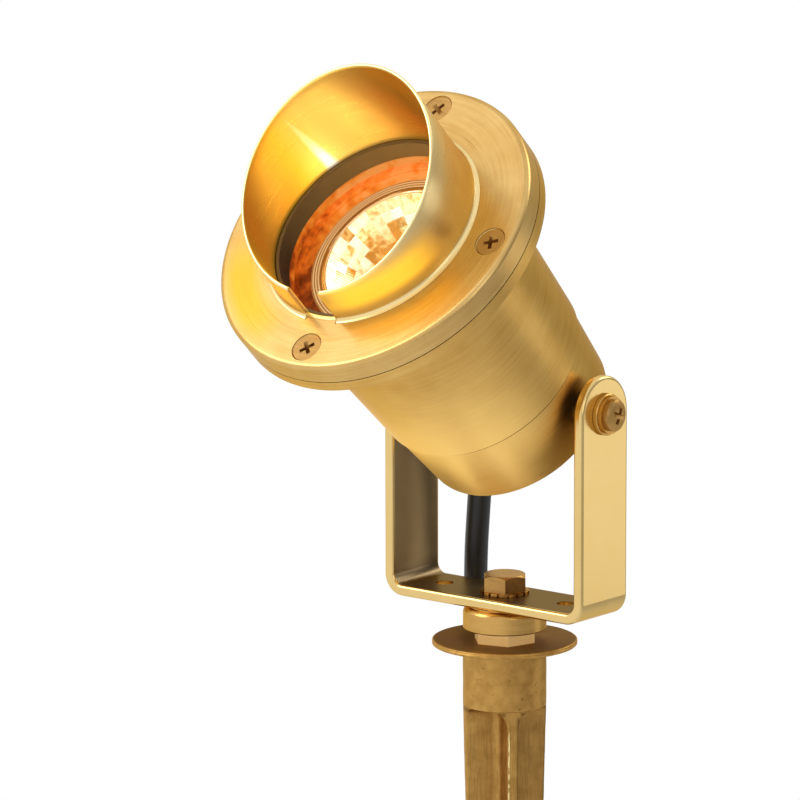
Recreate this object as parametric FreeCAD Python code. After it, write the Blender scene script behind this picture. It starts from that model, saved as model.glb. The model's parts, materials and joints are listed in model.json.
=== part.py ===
import FreeCAD, Part
import math
import os

os.makedirs("parts", exist_ok=True)
V = FreeCAD.Vector

# Garden spike spotlight, sizes in millimetres. Z is up and the origin is the centre of the
# underside of the ground flange, which lies on the soil. X runs along the tilting axis and the
# lamp aims towards -Y. Parts of the head are drawn along their own axis, where "s" is the
# distance in front of the tilting axis, and are then tipped into the aim.

# fits and gaps
slide_gap = 0.10        # flat faces that slide on each other
pin_gap = 0.08          # radial, a shank in a bore that turns on it
screw_gap = 0.30        # radial, a shank in a plain hole
joint_line = 0.40       # open line between two housing parts
rubber_gap = 0.05       # a seal and the metal beside it
thread_gap = 0.05       # radial, a thread in its tapped hole, or a part pushed into its seat

# aim and height
aim_angle = 44.0        # above level, degrees
pivot_height = 79.0     # tilting axis above the flange underside

# front housing, measured along the head
flange_radius = 53.0
flange_back = 79.2
flange_front = 83.7
tube_front_radius = 38.4
tube_back_radius = 34.9
tube_bore = 32.0
seam = 18.6
lens_pocket_radius = 35.6
lens_pocket_floor = 77.0

# lens and seals
lens_thick = 2.5
seat_thick = 1.0
lens_radius = lens_pocket_radius - 0.1
window_radius = 32.6
sleeve_wall = 0.9
seal_width = 3.0
seal_groove = 1.6
seal_wall = 1.5         # metal between the seal groove and the screw holes

# bezel
bezel_gap = 0.3
bezel_face = 91.3
bezel_edge = 1.6
screw_place = 0.543     # of the way from the shroud's foot to the flange's edge
bezel_screw_count = 4
socket_depth = 3.8      # how far the shroud is let into the bezel

# glare shroud
shroud_outer = 35.1
shroud_wall = 1.2
shroud_mid = 115.8      # height of the slanting rim on the head axis
rim_rise = 11.3         # rise of the rim from the axis to its top
rim_radius = 34.4       # where that rise is measured
foot_fillet = 1.5
notch_width = 11.6

# rear cap
cap_seam_radius = 34.2
cap_end_radius = 32.0
cap_end = -8.0
cap_bevel = 0.9
cap_wall = 4.5
spigot_length = 8.4
spigot_wall = 2.9
ring_section = 1.0      # radius of the section of the seal ring
post_radius = 3.6
post_circle = 23.5

# lamp, a 50 mm reflector lamp with two pins
lamp_rim = 25.0
lamp_front = 77.5
glass_thick = 1.0
reflector_depth = 20.5
reflector_wall = 1.3
neck_radius = 9.6
neck_hole = 6.2
neck_length = 2.0
rim_high = 1.6
facet_count = 24
facet_rows = 6
base_long = 17.0
base_wide = 11.0
base_height = 19.0
pin_spread = 5.33
pin_radius = 0.72
pin_length = 6.5
capsule_radius = 4.4
capsule_length = 15.5
ring_inner = 25.3
ring_thick = 1.4
holder_radius = 9.8
strip_thick = 1.2
strip_wide = 13.0
strip_screw = 1.5       # shank radius of the two screws that hold the strip
strip_head = 2.9
strip_head_high = 2.2
strip_screw_deep = 8.0
wire_radius = 0.9

# yoke bracket, a bent strip
strip_width = 24.0
strip_gauge = 3.6
yoke_half = 39.6        # outside of a leg from the middle
plate_low = 12.9        # underside of the plate above the flange underside
bend_inside = 3.2
edge_round = 1.2
side_hole_spread = 48.8
side_hole_radius = 2.9

# pivot screws, M5 pan head
pivot_shank = 2.5
pan_radius = 5.0
pan_height = 2.7
pan_dome = 1.3
washer_radius = 6.6
washer_thick = 1.4
spring_radius = 5.9
spring_thick = 1.3
spring_slit = 1.1
boss_radius = 6.0
boss_face = 33.6

# bezel screws, M5 countersunk
csk_radius = 4.7
csk_shank = 2.5
csk_length = 11.0
csk_ring = 0.35         # open ring round a countersunk head
csk_drop = 0.35         # head below the bezel's face

# swivel
collar_radius = 13.3
collar_shoulder = 11.4
collar_bevel = 2.0
collar_height = 7.6
bolt_shank = 4.0
bolt_across = 13.0
bolt_head = 5.3
bolt_turn = 9.0
bolt_depth = 12.0       # below the flange underside
lock_washer_radius = 7.8
lock_washer_thick = 1.0
teeth = 16
nut_across = 18.0
nut_turn = 14.0

# ground spike
ground_radius = 23.1
ground_thick = 1.9
dish = 0.7
socket_radius = 13.3
socket_length = 19.5
rib_count = 4
rib_turn = 50.0
rib_half = 1.7
rib_flare = 3.0         # radius where a rib runs out into the socket
spike_shoulder = 190.0
spike_length = 232.0
shoulder_reach = 8.9
tip_reach = 1.5

# cord
cord_radius = 3.8
gland_side = 24.0
gland_low = 2.0
gland_radius = 6.8
gland_base = 3.0
gland_nut_high = 4.0
hank_fold = 22.8        # half the distance between the two rows of limbs
hank_waist = 4.3
hank_pitch = 8.4
hank_limb = 98.0
hank_limbs = 5
tie_wide = 4.0
tie_thick = 1.2
core_radius = 1.3
core_length = 16.0
tip_radius = 0.75
tip_length = 7.0

ALONG = V(0, 0, 1)
bow = 1 - math.sqrt(0.5)        # how far a quarter arc keeps from its corner, per radius


def ring(outer, inner, low, high):
    body = Part.makeCylinder(outer, high - low, V(0, 0, low), ALONG)
    return body.cut(Part.makeCylinder(inner, high - low + 2, V(0, 0, low - 1), ALONG))


def turned(steps):
    """Body turned about Z from (radius, height) steps; four numbers make an arc via a point."""
    edges = []
    last = V(steps[0][0], 0, steps[0][1])
    for step in list(steps[1:]) + [steps[0]]:
        end = V(step[0], 0, step[1])
        if len(step) == 4:
            edges.append(Part.Arc(last, V(step[2], 0, step[3]), end).toShape())
        elif (end - last).Length > 1e-6:
            edges.append(Part.LineSegment(last, end).toShape())
        last = end
    return Part.Face(Part.Wire(edges)).revolve(V(0, 0, 0), ALONG, 360)


def hexagon(across, low, high, turn=0.0):
    radius = across / math.sqrt(3)
    corners = []
    for k in range(7):
        a = math.radians(turn + 60 * k)
        corners.append(V(radius * math.cos(a), radius * math.sin(a), low))
    return Part.Face(Part.makePolygon(corners)).extrude(V(0, 0, high - low))


def bevelled_hexagon(across, low, high, turn=0.0, ease=0.9):
    corner = across / math.sqrt(3)
    steps = [(0, low), (corner, low), (corner, high - ease), (across / 2 - 0.2, high), (0, high)]
    return hexagon(across, low, high, turn).common(turned(steps))


def cross_recess(span, width, depth, top):
    """Four-armed driver recess that narrows downwards, opening at height top."""
    arms = []
    for turn in (0, 90):
        outlines = []
        for scale, drop in ((1.0, -0.2), (0.4, depth)):
            x = span * scale / 2
            y = width * (0.75 + 0.25 * scale) / 2
            z = top - drop
            corners = [V(-x, -y, z), V(x, -y, z), V(x, y, z), V(-x, y, z), V(-x, -y, z)]
            outlines.append(Part.makePolygon(corners))
        arm = Part.makeLoft(outlines, True, True)
        arm.rotate(V(0, 0, 0), ALONG, turn)
        arms.append(arm)
    return arms[0].fuse(arms[1])


def moved(shape, offset, turn=0.0, axis=ALONG):
    copy = shape.copy()
    copy.rotate(V(0, 0, 0), axis, turn)
    copy.translate(offset)
    return copy


def both_sides(shape):
    """The shape along +Z put on the +X side, and again on the -X side."""
    right = moved(shape, V(0, 0, 0), 90, V(0, 1, 0))
    left = moved(shape, V(0, 0, 0), -90, V(0, 1, 0))
    return [right, left]


def tube(points, radius, name):
    """Round tube along straight runs joined by tangent arcs."""
    edges = []
    bends = []
    start = points[0]
    for k in range(1, len(points) - 1):
        back = points[k - 1] - points[k]
        ahead = points[k + 1] - points[k]
        half_turn = (math.pi - back.getAngle(ahead)) / 2
        reach = 0.45 * min(back.Length, ahead.Length)
        bend = reach / math.tan(half_turn)
        into = V(back).normalize()
        out = V(ahead).normalize()
        first = points[k] + into * reach
        second = points[k] + out * reach
        toward = (into + out).normalize()
        middle = points[k] + toward * (bend / math.cos(half_turn) - bend)
        edges.append(Part.LineSegment(start, first).toShape())
        edges.append(Part.Arc(first, middle, second).toShape())
        bends.append(bend)
        start = second
    edges.append(Part.LineSegment(start, points[-1]).toShape())
    return swept(edges, radius, name, bends)


def swept(edges, radius, name, bends):
    path = Part.Wire(edges)
    start = path.Edges[0].valueAt(path.Edges[0].FirstParameter)
    heading = path.Edges[0].tangentAt(path.Edges[0].FirstParameter)
    section = Part.Wire(Part.makeCircle(radius, start, heading))
    solid = path.makePipeShell([section], True, False)
    expected = math.pi * radius ** 2 * path.Length
    print(name, "length", round(path.Length, 1), "volume against section times length",
          round(solid.Volume / expected, 4), "bend radii", [round(b, 1) for b in bends])
    return solid


def tip(shapes):
    """Tip drawn head parts into the aim and lift them to the tilting axis."""
    out = Part.makeCompound(shapes) if isinstance(shapes, list) else shapes
    out = out.copy()
    out.rotate(V(0, 0, 0), V(1, 0, 0), 90 - aim_angle)
    out.translate(V(0, 0, pivot_height))
    return out


def save(name, shape):
    shape.exportStep("parts/" + name + ".step")
    print(name, "solids", len(shape.Solids), "volume", round(shape.Volume, 1), "valid", shape.isValid())


# front housing: tapering tube with the lens pocket and the screw flange in one casting
fillet = 1.5
foot_radius = shroud_outer + foot_fillet
screw_circle = foot_radius + screw_place * (flange_radius - foot_radius)
seal_outer = screw_circle - csk_shank - seal_wall
seal_inner = seal_outer - seal_width
front = turned([
    (tube_bore, seam), (tube_back_radius - 0.3, seam), (tube_back_radius, seam + 0.3),
    (tube_front_radius, flange_back - fillet),
    (tube_front_radius + fillet, flange_back,
     tube_front_radius + bow * fillet, flange_back - bow * fillet),
    (flange_radius - 0.5, flange_back), (flange_radius, flange_back + 0.5),
    (flange_radius, flange_front), (seal_outer, flange_front),
    (seal_outer, flange_front - seal_groove), (seal_inner, flange_front - seal_groove),
    (seal_inner, flange_front), (lens_pocket_radius, flange_front),
    (lens_pocket_radius, lens_pocket_floor), (tube_bore, lens_pocket_floor)])
for k in range(bezel_screw_count):
    a = math.radians(360.0 / bezel_screw_count * k)
    spot = V(screw_circle * math.cos(a), screw_circle * math.sin(a), flange_back - 1)
    front = front.cut(Part.makeCylinder(csk_shank + thread_gap, flange_front - flange_back + 2, spot, ALONG))
save("front_housing", tip(front))

# lens pack
lens_low = lens_pocket_floor + seat_thick
lens_high = lens_low + lens_thick
save("lens_seat", tip(ring(lens_radius, tube_bore, lens_pocket_floor, lens_low)))
lens = turned([(0, lens_low), (lens_radius - 0.3, lens_low), (lens_radius, lens_low + 0.3),
               (lens_radius, lens_high - 0.3), (lens_radius - 0.3, lens_high), (0, lens_high)])
save("lens_glass", tip(lens))
bore = window_radius + sleeve_wall
sleeve_foot = 1.8
save("lens_sleeve", tip(turned([
    (window_radius, lens_high), (lens_radius, lens_high), (lens_radius, lens_high + sleeve_foot),
    (bore, lens_high + sleeve_foot), (bore, bezel_face - 0.4), (window_radius, bezel_face - 0.4)])))
save("flange_seal", tip(ring(seal_outer - rubber_gap, seal_inner + rubber_gap,
                             flange_front - seal_groove, flange_front + bezel_gap)))

# bezel: clamps the lens pack, four countersunk holes, socket for the shroud
bezel_low = flange_front + bezel_gap
bezel = turned([
    (bore + rubber_gap, lens_high + sleeve_foot), (lens_radius, lens_high + sleeve_foot),
    (lens_radius, bezel_low), (flange_radius, bezel_low), (flange_radius, bezel_face - bezel_edge),
    (flange_radius - bezel_edge, bezel_face,
     flange_radius - bow * bezel_edge, bezel_face - bow * bezel_edge),
    (shroud_outer + thread_gap, bezel_face), (shroud_outer + thread_gap, bezel_face - socket_depth),
    (bore + rubber_gap, bezel_face - socket_depth)])
cone = csk_radius - csk_shank
csk_top = bezel_face - csk_drop
csk_land = 0.3
sink = turned([(0, bezel_low - 1), (csk_shank + screw_gap, bezel_low - 1),
               (csk_shank + screw_gap, csk_top - csk_land - cone + screw_gap),
               (csk_radius + csk_ring, csk_top - csk_land + csk_ring),
               (csk_radius + csk_ring, bezel_face + 1), (0, bezel_face + 1)])
screw = turned([(0, bezel_face - csk_length), (csk_shank - 0.4, bezel_face - csk_length),
                (csk_shank, bezel_face - csk_length + 0.6), (csk_shank, csk_top - csk_land - cone),
                (csk_radius, csk_top - csk_land), (csk_radius, csk_top), (0, csk_top)])
screw = screw.cut(cross_recess(5.4, 1.3, 2.3, csk_top))
screws = []
for k in range(bezel_screw_count):
    a = 360.0 / bezel_screw_count * k
    spot = V(screw_circle * math.cos(math.radians(a)), screw_circle * math.sin(math.radians(a)), 0)
    bezel = bezel.cut(moved(sink, spot))
    screws.append(moved(screw, spot, 20 + 37 * k))
save("bezel_ring", tip(bezel))
save("bezel_screws", tip(screws))

# glare shroud: tube cut off on a slant, open notch at its lowest point
shroud_inner = shroud_outer - shroud_wall
foot_lip = 0.15
foot = bezel_face + foot_lip + foot_fillet
shroud = turned([
    (shroud_inner, bezel_face - socket_depth), (shroud_outer, bezel_face - socket_depth),
    (shroud_outer, bezel_face), (foot_radius, bezel_face), (foot_radius, bezel_face + foot_lip),
    (shroud_outer, foot, shroud_outer + bow * foot_fillet, foot - (1 - bow) * foot_fillet),
    (shroud_outer, shroud_mid + 40), (shroud_inner, shroud_mid + 40)])
slant = math.degrees(math.atan(rim_rise / rim_radius))
cutter = Part.makeBox(200, 200, 100, V(-100, -100, 0))
cutter = moved(cutter, V(0, 0, shroud_mid), slant, V(1, 0, 0))
shroud = shroud.cut(cutter)
shroud = shroud.cut(Part.makeBox(notch_width, 20, 60, V(-notch_width / 2, -shroud_outer - 8, bezel_face)))
save("glare_shroud", tip(shroud))

# rear cap with the spigot, pivot bosses, posts for the holder strip and the gland hole
spigot_top = seam + spigot_length
spigot_radius = tube_bore - 0.04
groove_mid = seam + 4.4
groove_half = ring_section + 0.15
groove_floor = tube_bore - 2 * ring_section + 0.05
cap_hollow = spigot_radius - spigot_wall
cap = turned([
    (0, cap_end), (cap_end_radius - cap_bevel, cap_end), (cap_end_radius, cap_end + cap_bevel),
    (cap_seam_radius, seam - joint_line - 0.2), (cap_seam_radius - 0.2, seam - joint_line),
    (spigot_radius, seam - joint_line), (spigot_radius, groove_mid - groove_half),
    (groove_floor, groove_mid - groove_half), (groove_floor, groove_mid + groove_half),
    (spigot_radius, groove_mid + groove_half), (spigot_radius, spigot_top),
    (cap_hollow, spigot_top), (cap_hollow, cap_end + cap_wall), (0, cap_end + cap_wall)])
boss = Part.makeCylinder(boss_radius, boss_face - cap_hollow + 3, V(0, 0, cap_hollow - 3), ALONG)
for side in both_sides(boss):
    cap = cap.fuse(side)
posts = []
for side in (1, -1):
    posts.append(Part.makeCylinder(post_radius, spigot_top - strip_thick - cap_end - 2,
                                   V(0, side * post_circle, cap_end + 2), ALONG))
for post in posts:
    cap = cap.fuse(post)
for hole in both_sides(Part.makeCylinder(pivot_shank + thread_gap, 30, V(0, 0, boss_face - 7.3), ALONG)):
    cap = cap.cut(hole)
gland_spot = V(-gland_side, -gland_low, 0)
thread_radius = gland_radius - 1.6
cap = cap.cut(Part.makeCylinder(thread_radius, cap_wall + 2, gland_spot + V(0, 0, cap_end - 1), ALONG))
for side in (1, -1):
    spot = V(0, side * post_circle, spigot_top - strip_screw_deep - 1)
    cap = cap.cut(Part.makeCylinder(strip_screw + thread_gap, strip_screw_deep + 2, spot, ALONG))
cap = cap.removeSplitter()
save("rear_cap", tip(cap))
seal_radius = groove_floor + ring_section
seal = Part.makeTorus(seal_radius, ring_section - 0.06, V(0, 0, groove_mid), ALONG)
save("cap_seal", tip(seal))

# lamp
glass_low = lamp_front - glass_thick
bowl_low = glass_low - reflector_depth
rim_land = 1.8


def bowl_radius(part):
    """Radius of the mirror at a part of its depth: a parabola from the neck to the rim."""
    return math.sqrt(neck_hole ** 2 + part * ((lamp_rim - rim_land) ** 2 - neck_hole ** 2))


def many_sided(radius, level):
    corners = []
    for k in range(facet_count + 1):
        a = 2 * math.pi * k / facet_count
        corners.append(V(radius * math.cos(a), radius * math.sin(a), level))
    return Part.makePolygon(corners)


steps = [k / facet_rows for k in range(facet_rows + 1)]
mirror = Part.makeLoft([many_sided(bowl_radius(part ** 1.5), bowl_low + reflector_depth * part ** 1.5)
                        for part in steps], True, True)
outside = [(bowl_radius(part) + reflector_wall * 1.4, bowl_low + reflector_depth * part)
           for part in (0.12, 0.3, 0.5, 0.7)]
bowl = turned([(0, bowl_low - neck_length), (neck_radius, bowl_low - neck_length), (neck_radius, bowl_low)]
              + outside + [(lamp_rim, glass_low - rim_high), (lamp_rim, glass_low), (0, glass_low)])
bowl = bowl.cut(mirror)
bowl = bowl.cut(Part.makeCylinder(neck_hole, neck_length + 2, V(0, 0, bowl_low - neck_length - 1), ALONG))
save("lamp_reflector", tip(bowl))
save("lamp_front_glass", tip(Part.makeCylinder(lamp_rim - 1.0, glass_thick, V(0, 0, glass_low), ALONG)))
base_top = bowl_low - neck_length
base_low = base_top - base_height
block = Part.makeBox(base_long, base_wide, base_height - 4, V(-base_long / 2, -base_wide / 2, base_low))
block = block.makeFillet(2.0, [e for e in block.Edges if abs(e.tangentAt(0).z) > 0.9])
block = block.fuse(Part.makeCylinder(neck_radius - 0.6, 4, V(0, 0, base_top - 4), ALONG))
block = block.fuse(Part.makeCylinder(neck_hole - 0.1, 3.5, V(0, 0, base_top), ALONG))
pins = []
for side in (1, -1):
    spot = V(side * pin_spread / 2, 0, base_low - pin_length)
    pins.append(Part.makeCylinder(pin_radius, pin_length + 4, spot, ALONG))
    block = block.cut(pins[-1])
save("lamp_base", tip(block))
save("lamp_pins", tip(pins))
capsule_low = base_top + 3.5
capsule_high = capsule_low + capsule_length
dome = capsule_high - capsule_radius
capsule = turned([(0, capsule_low), (capsule_radius - 1.2, capsule_low), (capsule_radius, capsule_low + 2),
                  (capsule_radius, dome),
                  (0.26 * capsule_radius, dome + 0.966 * capsule_radius,
                   0.8 * capsule_radius, dome + 0.6 * capsule_radius),
                  (0.5, capsule_high + 1.0), (0, capsule_high + 1.0)])
save("lamp_capsule", tip(capsule))
ring_level = lens_pocket_floor - rubber_gap
save("lamp_ring", tip(ring(tube_bore - 0.1, ring_inner, ring_level - ring_thick, ring_level)))

# lamp holder on its strip
holder_low = spigot_top
holder = Part.makeCylinder(holder_radius, base_low - holder_low, V(0, 0, holder_low), ALONG)
for side in (1, -1):
    spot = V(side * pin_spread / 2, 0, base_low - pin_length - 0.5)
    holder = holder.cut(Part.makeCylinder(pin_radius + 0.05, 20, spot, ALONG))
save("lamp_holder", tip(holder))
strip_low = spigot_top - strip_thick
strip_half = post_circle + 4.5
strip = Part.makeBox(strip_wide, 2 * strip_half, strip_thick, V(-strip_wide / 2, -strip_half, strip_low))
wire_hole = 3.9
strip = strip.cut(Part.makeCylinder(wire_hole, 40, V(0, 0, strip_low - 1), ALONG))
strip_screws = []
for side in (1, -1):
    spot = V(0, side * post_circle, 0)
    hole = Part.makeCylinder(strip_screw + screw_gap, strip_thick + 2, V(0, 0, strip_low - 1), ALONG)
    strip = strip.cut(moved(hole, spot))
    head_top = spigot_top + strip_head_high
    body = turned([(0, spigot_top - strip_screw_deep), (strip_screw, spigot_top - strip_screw_deep),
                   (strip_screw, spigot_top), (strip_head, spigot_top),
                   (strip_head, spigot_top + 0.55 * strip_head_high),
                   (0, head_top, 0.66 * strip_head, spigot_top + 0.89 * strip_head_high)])
    recess = cross_recess(1.1 * strip_head, 0.28 * strip_head, 0.6 * strip_head_high, head_top)
    strip_screws.append(moved(body.cut(recess), spot))
save("holder_strip", tip(strip))
save("strip_screws", tip(strip_screws))

# cable gland: base screwed into the cap, nut, rubber, all on the axis of the cord
gland = turned([
    (cord_radius + 0.1, cap_end + cap_wall), (thread_radius, cap_end + cap_wall), (thread_radius, cap_end),
    (gland_radius, cap_end), (gland_radius, cap_end - gland_base + 0.4),
    (gland_radius - 0.4, cap_end - gland_base), (cord_radius + 0.1, cap_end - gland_base)])
gland_end = cap_end - gland_base - gland_nut_high
rubber_low = cap_end - gland_base
nut = turned([
    (gland_radius - 0.4, rubber_low - 0.1), (gland_radius - 0.4, rubber_low - 1.8),
    (cord_radius + 1.3, gland_end, gland_radius - 1.0, gland_end + 0.8),
    (cord_radius + 0.15, gland_end), (cord_radius + 0.15, gland_end + 0.8),
    (cord_radius + 1.2, gland_end + 0.8), (cord_radius + 1.2, rubber_low - 0.1)])
for k in range(6):
    flat = Part.makeBox(4, 20, 1.7, V(gland_radius - 0.75, -10, rubber_low - 1.8))
    flat.rotate(V(0, 0, 0), ALONG, 60 * k + 15)
    nut = nut.cut(flat)
rubber = ring(cord_radius + 1.15, cord_radius + rubber_gap, gland_end + 0.85, rubber_low - 0.1)
save("cable_gland", tip(moved(gland, gland_spot)))
save("gland_nut", tip(moved(nut, gland_spot)))
save("gland_rubber", tip(moved(rubber, gland_spot)))

# two leads inside the head, from the end of the cord to the lamp holder
leads = []
for side in (1, -1):
    low = cap_end + cap_wall + 0.2
    run = [V(-gland_side, side * 1.6 - gland_low, low), V(-gland_side, side * 1.6 - gland_low, 8),
           V(side * pin_spread / 2 - 1, 0, 15), V(side * pin_spread / 2 - 0.2, 0, holder_low - 0.15)]
    leads.append(tube(run, wire_radius, "lead"))
save("lamp_leads", tip(leads))

# pivot screws, washers and bushes, the same on both sides
leg_inside = yoke_half - strip_gauge
save("pivot_bushes", tip(both_sides(ring(boss_radius, pivot_shank + screw_gap, boss_face,
                                         leg_inside - slide_gap))))
flat_low = yoke_half + slide_gap
flat_high = flat_low + washer_thick
flat_washer = turned([(pivot_shank + screw_gap, flat_low), (washer_radius, flat_low),
                      (washer_radius, flat_high - 0.25), (washer_radius - 0.25, flat_high),
                      (pivot_shank + screw_gap, flat_high)])
save("pivot_washers", tip(both_sides(flat_washer)))
spring_high = flat_high + spring_thick
spring = ring(spring_radius, pivot_shank + screw_gap, flat_high, spring_high)
slit = Part.makeBox(spring_radius + 2, spring_slit, spring_thick + 2, V(0, -spring_slit / 2, flat_high - 1))
slit.rotate(V(0, 0, flat_high), V(1, 0, 0), 25)
slit.rotate(V(0, 0, 0), ALONG, 60)
save("spring_washers", tip(both_sides(spring.cut(slit))))
pan_top = spring_high + pan_height
pan = turned([(0, boss_face - 6.5), (pivot_shank - 0.5, boss_face - 6.5), (pivot_shank, boss_face - 5.9),
              (pivot_shank, spring_high), (pan_radius, spring_high), (pan_radius, pan_top - pan_dome),
              (0, pan_top, 0.74 * pan_radius, pan_top - 0.43 * pan_dome)])
pan = pan.cut(cross_recess(6.2, 1.5, 2.0, pan_top))
pan = moved(pan, V(0, 0, 0), 20)
save("pivot_screws", tip(both_sides(pan)))

# yoke bracket: one strip with two bends, full-round tops
plate_high = plate_low + strip_gauge
leg_top = pivot_height + strip_width / 2
bend_outside = bend_inside + strip_gauge
u_outer = Part.makeBox(2 * yoke_half, strip_width, leg_top - plate_low,
                       V(-yoke_half, -strip_width / 2, plate_low))
u_outer = u_outer.makeFillet(bend_outside, [e for e in u_outer.Edges if abs(e.tangentAt(0).y) > 0.9
                                            and e.CenterOfMass.z < plate_low + 1])
u_inner = Part.makeBox(2 * leg_inside, strip_width + 2, leg_top - plate_high + 5,
                       V(-leg_inside, -strip_width / 2 - 1, plate_high))
u_inner = u_inner.makeFillet(bend_inside, [e for e in u_inner.Edges if abs(e.tangentAt(0).y) > 0.9
                                           and e.CenterOfMass.z < plate_high + 1])
yoke = u_outer.cut(u_inner)
side_view = Part.makeBox(4 * yoke_half, strip_width, pivot_height - plate_low,
                         V(-2 * yoke_half, -strip_width / 2, plate_low))
side_view = side_view.fuse(Part.makeCylinder(strip_width / 2, 4 * yoke_half,
                                             V(-2 * yoke_half, 0, pivot_height), V(1, 0, 0)))
yoke = yoke.common(side_view).removeSplitter()
long_edges = [e for e in yoke.Edges if all(abs(abs(p.y) - strip_width / 2) < 1e-4 for p in e.discretize(4))
              or all(abs(math.hypot(p.y, p.z - pivot_height) - strip_width / 2) < 1e-3 and
                     p.z > pivot_height - 1e-4 for p in e.discretize(4))]
long_edges = [e for e in long_edges if abs(e.Length - strip_gauge) > 0.05]
yoke = yoke.makeFillet(edge_round, long_edges)
yoke = yoke.cut(Part.makeCylinder(pivot_shank + screw_gap, 4 * yoke_half, V(-2 * yoke_half, 0, pivot_height),
                                  V(1, 0, 0)))
for x in (-side_hole_spread / 2, side_hole_spread / 2):
    yoke = yoke.cut(Part.makeCylinder(side_hole_radius, 20, V(x, 0, plate_low - 5), ALONG))
yoke = yoke.cut(Part.makeCylinder(bolt_shank + pin_gap, 20, V(0, 0, plate_low - 5), ALONG))
save("yoke_bracket", yoke)

# swivel: collar under the plate turns with it, nut, bolt and toothed washer stay with the spike
collar_low = plate_low - collar_height
collar = turned([
    (bolt_shank + pin_gap, collar_low), (collar_radius - 0.4, collar_low), (collar_radius, collar_low + 0.4),
    (collar_radius, plate_low - collar_bevel - 0.5),
    (collar_shoulder, plate_low - 0.4, collar_radius - 0.45, plate_low - 1.2),
    (collar_shoulder, plate_low), (bolt_shank + pin_gap, plate_low)])
save("swivel_collar", collar)
dish_level = ground_thick - dish
nut_high = collar_low - slide_gap
lock_nut = hexagon(nut_across, dish_level, nut_high, nut_turn)
save("lock_nut", lock_nut.cut(Part.makeCylinder(bolt_shank, 20, V(0, 0, dish_level - 5), ALONG)))
lock_low = plate_high + slide_gap
lock_high = lock_low + lock_washer_thick
lock_washer = ring(lock_washer_radius, bolt_shank, lock_low, lock_high)
for k in range(teeth):
    tooth = Part.makeBox(2.2, 0.9, 5, V(lock_washer_radius - 1.3, -0.45, lock_low - 1))
    tooth.rotate(V(0, 0, 0), ALONG, 360.0 / teeth * k)
    lock_washer = lock_washer.cut(tooth)
save("lock_washer", lock_washer)
head_high = lock_high + bolt_head
bolt = bevelled_hexagon(bolt_across, lock_high, head_high, bolt_turn)
bolt = bolt.fuse(turned([(0, -bolt_depth), (bolt_shank - 0.8, -bolt_depth), (bolt_shank, -bolt_depth + 0.8),
                         (bolt_shank, lock_high + 1), (0, lock_high + 1)])).removeSplitter()
save("swivel_bolt", bolt)


def rib_section(level, reach, half, hollow):
    """Closed outline of the ribs at one level, rounded where they meet."""
    edges = []
    flat_end = math.sqrt(reach ** 2 - half ** 2)
    for k in range(rib_count):
        turn = rib_turn + 360.0 / rib_count * k

        def spot(x, y):
            a = math.radians(turn)
            return V(x * math.cos(a) - y * math.sin(a), x * math.sin(a) + y * math.cos(a), level)

        inner = half + hollow
        edges.append(Part.LineSegment(spot(inner, -half), spot(flat_end, -half)).toShape())
        edges.append(Part.Arc(spot(flat_end, -half), spot(reach, 0), spot(flat_end, half)).toShape())
        edges.append(Part.LineSegment(spot(flat_end, half), spot(inner, half)).toShape())
        middle = half + bow * hollow
        edges.append(Part.Arc(spot(inner, half), spot(middle, middle), spot(half, inner)).toShape())
    return Part.Wire(edges)


# ground spike: flange, socket and four tapering ribs in one casting
flange = turned([
    (0, -socket_length), (socket_radius - 0.3, -socket_length), (socket_radius, -socket_length + 0.3),
    (socket_radius, 0), (ground_radius - 0.5, 0), (ground_radius, 0.5, ground_radius - 0.15, 0.15),
    (ground_radius, ground_thick - 0.5),
    (ground_radius - 0.6, ground_thick, ground_radius - 0.18, ground_thick - 0.14),
    (nut_across / 2 + 1.6, dish_level), (0, dish_level)])
levels = []
for part in (0.0, 0.12, 0.35, 0.65, 1.0):
    run_out = rib_flare * (1 - math.sqrt(1 - (1 - part) ** 2))
    levels.append((socket_length - 0.4 + (rib_flare + 0.4) * part, socket_radius - 0.05 - 0.07 * part,
                   rib_half + run_out, 2.2 + 0.6 * part))
levels += [(spike_shoulder, shoulder_reach, 0.85 * rib_half, 1.9), (spike_length, tip_reach, 0.6, 0.35)]
ribs = Part.makeLoft([rib_section(-a, b, c, d) for a, b, c, d in levels], True, True)
spike = flange.fuse(ribs).removeSplitter()
spike = spike.cut(Part.makeCylinder(bolt_shank, bolt_depth + 3, V(0, 0, -bolt_depth - 0.5), ALONG))
save("ground_spike", spike)

# cord: out of the gland, down behind the plate, then a tied hank in line with the spike
aim = math.radians(aim_angle)


def from_head(x, n, s):
    return V(x, n * math.sin(aim) - s * math.cos(aim), pivot_height + n * math.cos(aim) + s * math.sin(aim))


hank_turn = math.radians(39.0)      # the hank faces the way the photograph looks
ACROSS = V(math.cos(hank_turn), math.sin(hank_turn), 0)
DEEP = V(-math.sin(hank_turn), math.cos(hank_turn), 0)
hank_start = ACROSS * -6.0 + DEEP * 36.0 + V(0, 0, -96)
route = [from_head(-gland_side, -gland_low, cap_end + cap_wall - 0.3),
         from_head(-gland_side, -gland_low, gland_end - 13.4),
         V(-25.6, 19.6, 42.5), V(-27.2, 19.4, 20.0), ACROSS * -8.6 + DEEP * 34.0 + V(0, 0, -6),
         ACROSS * -6.4 + DEEP * 36.6 + V(0, 0, -36), ACROSS * -6.0 + DEEP * 36.0 + V(0, 0, -66),
         hank_start]
save("cord_lead", tube(route, cord_radius, "cord lead"))


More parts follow.
